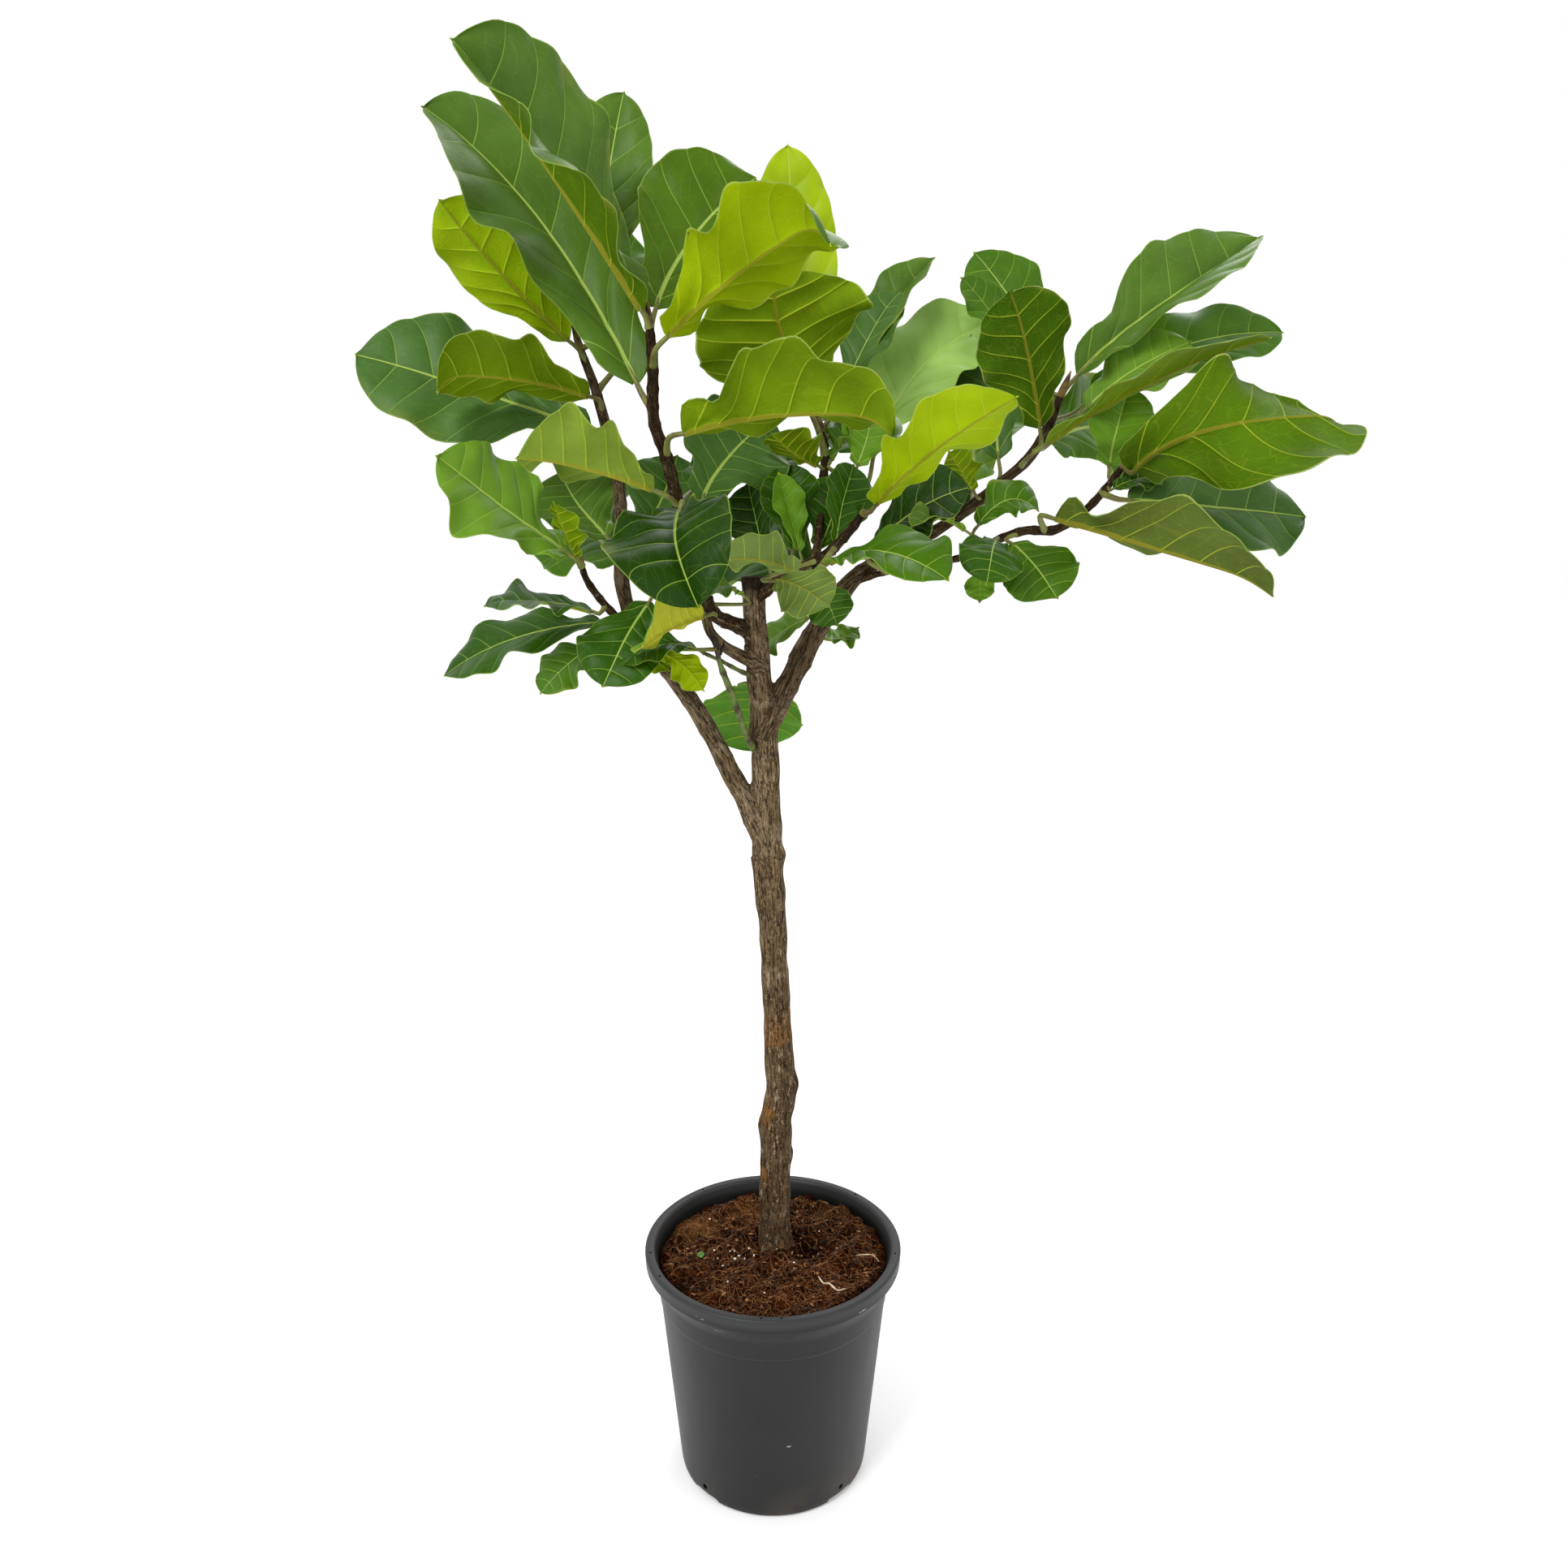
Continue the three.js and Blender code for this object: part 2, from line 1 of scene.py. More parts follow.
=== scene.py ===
# A potted fiddle leaf fig: grower's pot, coir soil, woody trunk and limbs, green stalks and large leaves.
# Metres, +Z up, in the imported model's frame: +X is to the viewer's right and -Y is toward the viewer.
import math
import random

import bpy
import numpy as np
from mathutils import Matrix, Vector, kdtree, noise


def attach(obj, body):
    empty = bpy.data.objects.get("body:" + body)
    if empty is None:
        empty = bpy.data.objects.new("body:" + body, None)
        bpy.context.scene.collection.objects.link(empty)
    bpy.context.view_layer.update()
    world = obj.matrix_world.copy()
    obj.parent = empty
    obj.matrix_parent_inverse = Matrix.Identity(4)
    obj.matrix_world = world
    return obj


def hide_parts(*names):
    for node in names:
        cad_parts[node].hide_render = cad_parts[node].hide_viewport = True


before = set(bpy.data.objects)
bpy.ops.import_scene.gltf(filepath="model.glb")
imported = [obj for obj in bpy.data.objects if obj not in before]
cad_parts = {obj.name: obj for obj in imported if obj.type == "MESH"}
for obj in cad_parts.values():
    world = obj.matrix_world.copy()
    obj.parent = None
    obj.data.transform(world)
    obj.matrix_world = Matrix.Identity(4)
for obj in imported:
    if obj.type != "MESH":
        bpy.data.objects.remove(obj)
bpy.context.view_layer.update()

MM = 0.001
dice = random.Random(7)
noise.seed_set(7)


# ---- Camera, light and floor ---------------------------------------------------------------------
PHOTO_PIXELS = 1932
FOCAL_PIXELS = 1700            # focal length of the view, in the photograph's pixels
SENSOR_MM = 36
CAMERA_AT = (0.0117, -1.288, 1.103)
LOOKS_DOWN = 14.87             # degrees below level
NEAREST_SEEN = 0.05
FLOOR_SIZE = 14
FLOOR_AT = (0, 0, -0.0005)
FLOOR_TONE = (0.92, 0.92, 0.92, 1)
FLOOR_LIFT = 0.085             # glow that makes the floor as white as the studio
WHITE = (1, 1, 1, 1)
CROWN_MIDDLE = (0, 0, 0.85)    # what the lamps face
# Each lamp: name, place, width, height and watts.
LAMPS = (
    ("key", (-1.5, -2.0, 3.0), 1.3, 1.3, 62),
    ("fill", (2.4, -1.6, 1.9), 1.2, 1.8, 14),
    ("back", (0.8, 2.2, 2.8), 1.6, 1.2, 24),
)


def add_camera():
    bpy.ops.object.camera_add(location=CAMERA_AT, rotation=(math.radians(90 - LOOKS_DOWN), 0, 0))
    camera = bpy.context.object
    camera.name = "camera"
    camera.data.sensor_width = SENSOR_MM
    camera.data.lens = SENSOR_MM * FOCAL_PIXELS / PHOTO_PIXELS
    camera.data.clip_start = NEAREST_SEEN
    bpy.context.scene.camera = camera


def add_softbox(name, place, width, height, watts):
    """A large soft lamp that faces the crown."""
    bpy.ops.object.light_add(type="AREA", location=place)
    lamp = bpy.context.object
    lamp.name = name
    lamp.data.shape = "RECTANGLE"
    lamp.data.size = width
    lamp.data.size_y = height
    lamp.data.energy = watts
    aim = Vector(CROWN_MIDDLE) - Vector(place)
    lamp.rotation_euler = aim.to_track_quat("-Z", "Y").to_euler()


def add_room():
    world = bpy.data.worlds.new("studio")
    world.use_nodes = True
    backdrop = world.node_tree.nodes["Background"]
    backdrop.inputs["Color"].default_value = WHITE
    backdrop.inputs["Strength"].default_value = 1.0
    scene = bpy.context.scene
    scene.world = world
    scene.view_settings.view_transform = "Standard"
    scene.view_settings.look = "None"
    bpy.ops.mesh.primitive_plane_add(size=FLOOR_SIZE, location=FLOOR_AT)
    floor = bpy.context.object
    floor.name = "floor"
    paint = Finish("pale_floor", roughness=0.9)
    paint.feed("Base Color", FLOOR_TONE)
    paint.feed("Emission Color", WHITE)
    paint.feed("Emission Strength", FLOOR_LIFT)
    floor.data.materials.append(paint.material)
    for lamp in LAMPS:
        add_softbox(*lamp)


# ---- Materials -----------------------------------------------------------------------------------
def rgb(red, green, blue):
    """A colour given as it shows on screen, 0 to 255, as the light that a material reflects."""
    return tuple((channel / 255) ** 2.2 for channel in (red, green, blue)) + (1,)


class Value:
    """What a node gives out. Arithmetic on it adds Math nodes."""

    def __init__(self, finish, socket):
        self.finish = finish
        self.socket = socket

    def math(self, operation, *values):
        inputs = dict(enumerate(values))
        return self.finish.node("ShaderNodeMath", {"operation": operation}, inputs)

    def __add__(self, other):
        return self.math("ADD", self, other)

    def __sub__(self, other):
        return self.math("SUBTRACT", self, other)

    def __rsub__(self, other):
        return self.math("SUBTRACT", other, self)

    def __mul__(self, other):
        return self.math("MULTIPLY", self, other)

    def __abs__(self):
        return self.math("ABSOLUTE", self)

    __radd__ = __add__
    __rmul__ = __mul__

    def step(self, low, high):
        """0 below low, 1 above high and a smooth rise between; high may be the lower one."""
        inputs = {"Value": self, "From Min": low, "From Max": high}
        return self.finish.node("ShaderNodeMapRange", {"interpolation_type": "SMOOTHSTEP"}, inputs)


SOCKET_NAMES = {"roughness": "Roughness", "specular_ior_level": "Specular IOR Level"}


class Finish:
    """A material that is made node by node."""

    def __init__(self, name, **constants):
        self.material = bpy.data.materials.new(name)
        self.material.use_nodes = True
        self.tree = self.material.node_tree
        self.shader = self.tree.nodes["Principled BSDF"]
        for socket, value in constants.items():
            self.shader.inputs[SOCKET_NAMES[socket]].default_value = value

    def node(self, kind, settings=None, inputs=None, output=0):
        node = self.tree.nodes.new(kind)
        for setting, value in (settings or {}).items():
            setattr(node, setting, value)
        for socket, value in (inputs or {}).items():
            if isinstance(value, Value):
                self.tree.links.new(value.socket, node.inputs[socket])
            else:
                node.inputs[socket].default_value = value
        return Value(self, node.outputs[output])

    def feed(self, socket, value):
        if isinstance(value, Value):
            self.tree.links.new(value.socket, self.shader.inputs[socket])
        else:
            self.shader.inputs[socket].default_value = value

    def place(self):
        return self.node("ShaderNodeTexCoord", output=3)

    def attribute(self, name, output=2):
        return self.node("ShaderNodeAttribute", {"attribute_name": name}, output=output)

    def scaled(self, vector, scale):
        return self.node("ShaderNodeVectorMath", {"operation": "MULTIPLY"}, {0: vector, 1: scale})

    def distance(self, vector, centre):
        inputs = {0: vector, 1: centre}
        return self.node("ShaderNodeVectorMath", {"operation": "DISTANCE"}, inputs, output=1)

    def noise(self, vector, scale, detail=3, roughness=0.55):
        inputs = {"Vector": vector, "Scale": scale, "Detail": detail, "Roughness": roughness}
        return self.node("ShaderNodeTexNoise", {}, inputs)

    def cells(self, vector, scale):
        """Distance to the nearest border between irregular cells."""
        inputs = {"Vector": vector, "Scale": scale}
        return self.node("ShaderNodeTexVoronoi", {"feature": "DISTANCE_TO_EDGE"}, inputs)

    def mix(self, share, first, second, blend="MIX"):
        settings = {"data_type": "RGBA", "blend_type": blend, "clamp_factor": True}
        return self.node("ShaderNodeMix", settings, {0: share, 6: first, 7: second}, output=2)

    def split(self, vector):
        parts = self.node("ShaderNodeSeparateXYZ", {}, {0: vector})
        outputs = parts.socket.node.outputs
        return [Value(self, outputs[axis]) for axis in "XYZ"]

    def bump(self, height, distance, strength=1.0):
        inputs = {"Height": height, "Distance": distance, "Strength": strength}
        self.feed("Normal", self.node("ShaderNodeBump", {}, inputs))


VEIN = rgb(150, 178, 70)
RIB_BELOW = rgb(170, 182, 52)
SPINE_BELOW = rgb(138, 132, 42)


def leaf_marks(finish):
    """The net of cross veins, the finer mesh inside it, and the thin margin."""
    net = finish.attribute("net", output=1)
    margin = finish.attribute("reach").step(0.975, 0.995)
    return finish.cells(net, 1.0), finish.cells(net, 3.6), margin


def upper_finish():
    """The leaf's upper face: waxy, with pale sunken veins and a thin pale margin."""
    finish = Finish("leaf_upper", specular_ior_level=0.12)
    tone = finish.attribute("upper_tone", output=0)
    ladder, mesh, margin = leaf_marks(finish)
    place = finish.place()
    mottle = finish.noise(place, 34, 4)
    fine = finish.noise(place, 900, 2)
    lateral = finish.attribute("lateral").step(0.9, 0.35)
    spine = finish.attribute("spine").step(1.25, 0.75)
    cross = ladder.step(0.035, 0.012)
    body = finish.mix(mottle.step(0.3, 0.7) * 0.3, tone, rgb(150, 176, 120), "MULTIPLY")
    body = finish.mix(cross * 0.05, body, VEIN)
    body = finish.mix(lateral * 0.50, body, VEIN)
    body = finish.mix(spine * 0.75, body, rgb(166, 188, 88))
    finish.feed("Base Color", finish.mix(margin * 0.45, body, rgb(140, 164, 66)))
    finish.feed("Roughness", 0.32 + 0.14 * mottle + 0.05 * lateral)
    lines = cross * 0.25 + mesh.step(0.12, 0.0) * 0.12
    finish.bump(fine * 0.1 - lines, 0.0004, 0.4)
    return finish.material


def under_finish():
    """The leaf's under face: matt, paler, with raised yellow ribs and a brownish midrib."""
    finish = Finish("leaf_under", specular_ior_level=0.06)
    tone = finish.attribute("under_tone", output=0)
    ladder, mesh, margin = leaf_marks(finish)
    place = finish.place()
    mottle = finish.noise(place, 30, 4)
    fine = finish.noise(place, 800, 2)
    lateral = finish.attribute("lateral").step(1.0, 0.4)
    spine = finish.attribute("spine").step(1.3, 0.8)
    cross = ladder.step(0.045, 0.012)
    web = mesh.step(0.10, 0.0)
    body = finish.mix(mottle.step(0.3, 0.75) * 0.28, tone, rgb(176, 182, 110), "MULTIPLY")
    body = finish.mix(web * 0.04, body, RIB_BELOW)
    body = finish.mix(cross * 0.07, body, RIB_BELOW)
    body = finish.mix(lateral * 0.62, body, RIB_BELOW)
    body = finish.mix(spine * 0.7, body, SPINE_BELOW)
    finish.feed("Base Color", finish.mix(margin * 0.5, body, rgb(186, 196, 110)))
    finish.feed("Roughness", 0.52 + 0.14 * mottle)
    finish.bump(cross * 0.6 + web * 0.4 + fine * 0.1, 0.0005, 0.6)
    return finish.material


def stalk_finish():
    finish = Finish("leaf_stalk", specular_ior_level=0.4)
    place = finish.place()
    streak = finish.noise(place, 60, 4)
    fleck = finish.noise(place, 420, 3)
    body = finish.mix(streak.step(0.35, 0.7), rgb(112, 120, 52), rgb(92, 78, 42))
    finish.feed("Base Color", finish.mix(fleck.step(0.58, 0.7) * 0.5, body, rgb(60, 48, 34)))
    finish.feed("Roughness", 0.45 + 0.2 * fleck)
    finish.bump(fleck, 0.0004, 0.5)
    return finish.material


def bark_finish(name, light, dark, patch, young):
    """Bark that follows the stem: long cracks, scaly flecks and patches, darker on young wood."""
    finish = Finish(name, specular_ior_level=0.06)
    grain = finish.attribute("grain", output=1)
    place = finish.place()
    broad = finish.noise(place, 30, 5, 0.65)
    rust = finish.noise(place, 17, 3)
    streaks = finish.noise(finish.scaled(grain, (480, 480, 90)), 1, 6, 0.72)
    scales = finish.noise(finish.scaled(grain, (260, 260, 150)), 1, 5, 0.7)
    seam = finish.noise(finish.scaled(grain, (210, 210, 20)), 1, 4, 0.6)
    specks = finish.noise(place, 620, 3)
    flakes = finish.noise(finish.scaled(grain, (170, 170, 80)), 1, 4, 0.7)
    crack = abs(seam - 0.5).step(0.022, 0.004)
    body = finish.mix(streaks.step(0.34, 0.66), dark, light)
    body = finish.mix(broad.step(0.50, 0.66) * 0.7, body, patch)
    body = finish.mix(scales.step(0.47, 0.36) * 0.6, body, rgb(52, 40, 28))
    height = finish.split(place)[2]
    body = finish.mix(height.step(0.85, 0.27) * 0.7, body, rgb(62, 45, 30))
    low_rust = rust.step(0.50, 0.64) * height.step(0.60, 0.36)
    body = finish.mix(low_rust * 0.55, body, rgb(150, 98, 42))
    body = finish.mix(flakes.step(0.57, 0.64) * 0.5, body, rgb(168, 150, 122))
    body = finish.mix(specks.step(0.60, 0.70) * 0.45, body, rgb(188, 170, 138))
    body = finish.mix(finish.attribute("shade") * 0.8, body, young)
    body = finish.mix(crack * 0.8, body, rgb(30, 22, 15))
    body = finish.mix(finish.attribute("hollow") * 0.85, body, rgb(22, 17, 12))
    finish.feed("Base Color", body)
    finish.feed("Roughness", 0.78 + 0.12 * broad)
    finish.bump(streaks * 0.6 + scales * 0.8 - crack * 0.9 + specks * 0.2, 0.0014, 1.0)
    return finish.material


# White scuffs on the pot's rim and wall: place and half length, in metres.
SCUFFS = (
    ((-0.072, -0.114, 0.249), 0.007), ((0.090, -0.100, 0.247), 0.006),
    ((0.019, -0.107, 0.094), 0.007), ((-0.052, -0.112, 0.236), 0.009),
)
SCUFF_STRETCH = (1, 0.6, 5)    # a scuff is long sideways and low


def pot_finish():
    """Moulded anthracite plastic: slight haze, a painted highlight on the rim, a few white scuffs and warm
    brown patches low down.
    """
    finish = Finish("pot_plastic", specular_ior_level=0.32)
    place = finish.place()
    haze = finish.noise(place, 9, 5, 0.6)
    grain = finish.noise(place, 1400, 2)
    drag = finish.noise(finish.scaled(place, (60, 60, 7)), 1, 4)
    scuff = finish.noise(finish.scaled(place, (150, 150, 420)), 1, 3)
    height = finish.split(place)[2]
    body = finish.mix(haze.step(0.3, 0.7), rgb(16, 17, 16), rgb(24, 25, 24))
    body = finish.mix(drag.step(0.55, 0.75) * 0.25, body, rgb(34, 34, 33))
    # Painted highlight: above about 0.25 m the rim is painted a lighter grey, as if lit from above.
    body = finish.mix(height.step(0.246, 0.254) * 0.5, body, rgb(58, 59, 59))
    body = finish.mix(scuff.step(0.755, 0.785) * 0.5, body, rgb(170, 170, 166))
    for spot, reach in SCUFFS:
        centre = [along * scale for along, scale in zip(spot, SCUFF_STRETCH)]
        gap = finish.distance(finish.scaled(place, SCUFF_STRETCH), centre)
        mark = gap.step(reach, reach * 0.3) * scuff.step(0.45, 0.6)
        body = finish.mix(mark * 0.8, body, rgb(176, 176, 172))
    # Warm brown patches over the lowest 5 cm of the wall.
    low_brown = height.step(0.05, 0.0) * haze.step(0.45, 0.7)
    finish.feed("Base Color", finish.mix(low_brown * 0.4, body, rgb(84, 68, 50)))
    finish.feed("Roughness", 0.36 + 0.12 * haze + 0.1 * drag)
    finish.bump(grain * 0.6 + drag * 0.4, 0.0002, 0.5)
    return finish.material


SOIL_TOP = 243                 # millimetres above the floor
# Near-black and dry golden places in the soil: x and y, reach, strength and tint.
# The first near-black place is painted shade in the hollow beside the trunk.
SOIL_PATCHES = (
    ((0.040, 0.014), 0.034, 0.9, rgb(14, 8, 5)), ((-0.084, -0.050), 0.026, 0.8, rgb(14, 8, 5)),
    ((0.070, 0.040), 0.022, 0.7, rgb(18, 10, 6)), ((-0.020, -0.004), 0.020, 0.6, rgb(16, 9, 5)),
    ((-0.085, 0.050), 0.034, 0.5, rgb(150, 104, 56)), ((0.010, -0.082), 0.030, 0.30, rgb(116, 62, 28)),
    ((-0.030, 0.085), 0.030, 0.4, rgb(140, 96, 54)), ((0.075, 0.085), 0.026, 0.4, rgb(138, 92, 52)),
)
NEAR_BLACK_SPOTS = ((40, 14, 30), (-84, -50, 22))   # millimetres: few fibres lie at these near-black places


def soil_finish():
    finish = Finish("coir_soil", specular_ior_level=0.03)
    place = finish.place()
    broad = finish.noise(place, 22, 4)
    clump = finish.noise(place, 150, 4, 0.65)
    fibre = finish.noise(finish.scaled(place, (260, 900, 500)), 1, 3)
    crumb = finish.cells(place, 380)
    body = finish.mix(clump.step(0.36, 0.62), rgb(14, 6, 3), rgb(52, 24, 11))
    body = finish.mix(broad.step(0.46, 0.66) * clump.step(0.42, 0.6), body, rgb(76, 38, 17))
    body = finish.mix(fibre.step(0.58, 0.68) * 0.55, body, rgb(146, 104, 62))
    # The near-black patch in the hollow beside the trunk is painted shade.
    for spot, reach, strength, tint in SOIL_PATCHES:
        gap = finish.distance(place, (*spot, SOIL_TOP * MM))
        patch = (gap + 0.03 * broad).step(reach + 0.015, reach * 0.4)
        body = finish.mix(patch * strength * (0.4 + clump), body, tint)
    finish.feed("Base Color", finish.mix(crumb.step(0.06, 0.0) * 0.7, body, rgb(20, 12, 8)))
    finish.feed("Roughness", 0.85 + 0.1 * clump)
    finish.bump(clump * 0.7 + fibre * 0.4 + crumb.step(0.0, 0.1) * 0.4, 0.0022, 1.0)
    return finish.material


def plain_finish(name, low, high, scale, roughness, depth):
    """One small thing's finish: two tones, mixed by noise, with a matching bump."""
    finish = Finish(name, specular_ior_level=0.3)
    marks = finish.noise(finish.place(), scale, 4)
    finish.feed("Base Color", finish.mix(marks.step(0.35, 0.65), low, high))
    finish.feed("Roughness", roughness + 0.1 * marks)
    finish.bump(marks, depth, 0.8)
    return finish.material


# ---- Making pieces -------------------------------------------------------------------------------
def alone(*pieces):
    """Select these pieces only; the first is the active one."""
    bpy.ops.object.select_all(action="DESELECT")
    for piece in pieces:
        piece.select_set(True)
    if pieces:
        bpy.context.view_layer.objects.active = pieces[0]


def apply_modifier(piece, kind, **settings):
    alone(piece)
    modifier = piece.modifiers.new(kind.lower(), kind)
    for setting, value in settings.items():
        setattr(modifier, setting, value)
    bpy.ops.object.modifier_apply(modifier=modifier.name)


def places_of(piece):
    places = np.empty(len(piece.data.vertices) * 3)
    piece.data.vertices.foreach_get("co", places)
    return places.reshape(-1, 3)


def normals_of(piece):
    normals = np.empty(len(piece.data.vertices) * 3)
    piece.data.vertex_normals.foreach_get("vector", normals)
    return normals.reshape(-1, 3)


def set_places(piece, places):
    piece.data.vertices.foreach_set("co", np.asarray(places, dtype=float).ravel())
    piece.data.update()


def give(piece, name, kind, values):
    """A value for each point of the mesh, which its material reads by name."""
    layer = piece.data.attributes.new(name, kind, "POINT")
    field = {"FLOAT": "value", "FLOAT_VECTOR": "vector", "FLOAT_COLOR": "color"}[kind]
    layer.data.foreach_set(field, np.asarray(values, dtype=float).ravel())


def smooth(piece, degrees=None):
    alone(piece)
    if degrees is None:
        bpy.ops.object.shade_smooth()
    else:
        bpy.ops.object.shade_smooth_by_angle(angle=math.radians(degrees))


def belongs(piece, nodes=()):
    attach(piece, "root")
    if nodes:
        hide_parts(*nodes)


def strands(name, paths, rings, finishes):
    """Round strands as one mesh. A path is a list of (x, y, z, radius) and its finish's number."""
    curve = bpy.data.curves.new(name, "CURVE")
    curve.dimensions = "3D"
    curve.bevel_depth = 1.0
    curve.bevel_resolution = rings
    curve.use_fill_caps = True
    for path, finish in paths:
        line = curve.splines.new("POLY")
        line.points.add(len(path) - 1)
        line.material_index = finish
        for point, (x, y, z, radius) in zip(line.points, path):
            point.co = (x, y, z, 1)
            point.radius = radius
    piece = bpy.data.objects.new(name, curve)
    bpy.context.scene.collection.objects.link(piece)
    for finish in finishes:
        curve.materials.append(finish)
    alone(piece)
    bpy.ops.object.convert(target="MESH")
    piece = bpy.context.object
    piece.name = name
    return piece


def strand_piece(name, paths, rings, finishes):
    """Strands that are a piece of their own."""
    piece = strands(name, paths, rings, finishes)
    smooth(piece)
    belongs(piece)


# ---- Curves --------------------------------------------------------------------------------------
def unit(vectors):
    return vectors / np.linalg.norm(vectors, axis=-1, keepdims=True)


def smoothstep(value, low, high):
    share = np.clip((value - low) / (high - low), 0, 1)
    return share * share * (3 - 2 * share)


def hump(value, height, at, spread):
    return height * np.exp(-((value - at) / spread) ** 2)


def smooth_route(points, step):
    """A smooth curve through [x, y, z, radius] points in millimetres, as metres, a step apart."""
    knots = np.array(points, dtype=float) * MM
    before = 2 * knots[0] - knots[1]
    after = 2 * knots[-1] - knots[-2]
    knots = np.vstack([before, knots, after])
    pieces = []
    for i in range(1, len(knots) - 2):
        corners = knots[i - 1:i + 3]
        gaps = np.sqrt(np.linalg.norm(np.diff(corners[:, :3], axis=0), axis=1))
        spans = [(corners[k + 1] - corners[k]) / gaps[k] for k in range(3)]
        leave = spans[0] - (corners[2] - corners[0]) / (gaps[0] + gaps[1]) + spans[1]
        arrive = spans[1] - (corners[3] - corners[1]) / (gaps[1] + gaps[2]) + spans[2]
        leave = leave * gaps[1]
        arrive = arrive * gaps[1]
        count = max(2, int(np.linalg.norm(corners[2, :3] - corners[1, :3]) / (step * MM)))
        t = np.linspace(0, 1, count + 1)[:-1, None]
        rise = corners[2] - corners[1]
        curve = corners[1] + leave * t + (3 * rise - 2 * leave - arrive) * t ** 2
        curve = curve + (leave + arrive - 2 * rise) * t ** 3
        curve[:, 3] = (corners[1] + rise * t)[:, 3]
        pieces.append(curve)
    pieces.append(knots[-2:-1])
    return np.vstack(pieces)


def run_of(route):
    """Distance along a route at each of its points."""
    steps = np.linalg.norm(np.diff(route[:, :3], axis=0), axis=1)
    return np.concatenate([[0], np.cumsum(steps)])


def point_along(route, share):
    run = run_of(route)
    return np.array([np.interp(share * run[-1], run, route[:, axis]) for axis in range(3)])


def headings(route):
    return unit(np.gradient(route[:, :3], axis=0))


# ---- Wood ----------------------------------------------------------------------------------------
# Each route is a list of [x, y, z, radius] in millimetres from the root end to the tip.
TRUNK = [
    [2, 22, 228, 21], [2, 22, 250, 18], [2, 21, 300, 16], [4, 20, 390, 16.5], [8, 20, 428, 15.5],
    [5, 20, 500, 14], [2, 20, 580, 14], [-2, 18, 640, 15], [-5, 18, 685, 15.5], [-6, 15, 755, 14],
    [-8, 13, 820, 13], [-14, 9, 885, 11.5], [-18, 4, 960, 10.5],
]
LEFT_LIMB = [
    [-8, 17, 690, 9], [-20, 14, 726, 10.5], [-37, 12, 764, 9.5], [-59, 10, 808, 9],
    [-82, 10, 848, 8.5], [-110, 13, 884, 8], [-131, 19, 914, 7.5], [-142, 28, 950, 7],
    [-144, 46, 1032, 6], [-152, 53, 1075, 5.5], [-162, 57, 1118, 5], [-178, 60, 1165, 3.5],
]
RIGHT_LIMB = [
    [-6, 11, 812, 10], [8, 12, 842, 11.5], [23, 16, 871, 11], [39, 22, 900, 10.5],
    [55, 28, 926, 9.5], [71, 33, 947, 9], [90, 37, 963, 7], [124, 40, 982, 6], [162, 42, 1003, 5.5],
    [192, 42, 1024, 5.5], [218, 38, 1046, 5], [238, 34, 1064, 5], [254, 32, 1090, 5],
    [266, 30, 1122, 3.5],
]
LEFT_SHOOT = [
    [-120, 14, 893, 4.5], [-138, 2, 915, 4], [-156, -8, 937, 3.5], [-170, -15, 960, 3],
    [-174, -18, 975, 2.5],
]
LEADER_STEM = [
    [-15, 8, 900, 7], [-28, 2, 912, 7], [-52, -6, 925, 6.5], [-62, -14, 946, 6],
    [-71, -24, 982, 5.5], [-82, -33, 1026, 5.5], [-93, -38, 1072, 5.5], [-102, -40, 1100, 5],
    [-102, -40, 1150, 5], [-104, -40, 1178, 3.5],
]
CENTRE_STEM = [
    [-17, 4, 936, 5.5], [-4, -6, 949, 5.5], [10, -16, 961, 5], [26, -28, 971, 5],
    [42, -42, 979, 4.5], [58, -55, 994, 4.5], [72, -67, 1011, 4], [80, -75, 1023, 3],
]
CENTRE_SHOOT = [
    [38, -38, 977, 3.5], [43, -14, 997, 3.5], [47, 18, 1026, 4], [49, 36, 1052, 4],
    [50, 44, 1078, 3.5], [46, 46, 1093, 2.5],
]
RIGHT_STEM = [
    [80, 35, 952, 3.5], [100, 24, 960, 3], [130, 8, 968, 3], [160, -6, 975, 3], [184, -16, 983, 3],
    [208, -20, 997, 3.5], [230, -22, 1004, 4], [256, -24, 1005, 4], [280, -24, 1020, 3.5],
    [298, -22, 1038, 3.5], [316, -20, 1062, 3],
]
LOW_TWIG = [
    [-17, 10, 792, 3.2], [-26, -8, 816, 2.8], [-35, -20, 848, 2.6], [-40, -24, 862, 3.2],
    [-47, -28, 882, 2.4], [-50, -30, 897, 2.2],
]
SIDE_TWIG = [[-12, 10, 862, 2.6], [-30, -2, 872, 2], [-48, -14, 884, 1.8], [-62, -22, 892, 1.6]]
HUGGING_SHOOT = [
    [14, 2, 846, 4.5], [26, 2, 874, 5], [38, 6, 906, 4.6], [42, 6, 926, 4], [43, 2, 944, 3.2],
]
SECOND_BRANCH = [
    [-13, 8, 876, 6.5], [-30, 0, 886, 6], [-46, -5, 897, 5.2], [-57, -8, 910, 4.8],
    [-61, -12, 926, 4.5], [-64, -17, 950, 3.5],
]
WOOD = {
    "trunk": TRUNK, "left_limb": LEFT_LIMB, "right_limb": RIGHT_LIMB, "left_shoot": LEFT_SHOOT,
    "leader_stem": LEADER_STEM, "centre_stem": CENTRE_STEM, "centre_shoot": CENTRE_SHOOT,
    "right_stem": RIGHT_STEM, "low_twig": LOW_TWIG, "side_twig": SIDE_TWIG,
    "hugging_shoot": HUGGING_SHOOT, "second_branch": SECOND_BRANCH,
}
ROUTES = {name: smooth_route(points, 2.5) for name, points in WOOD.items()}

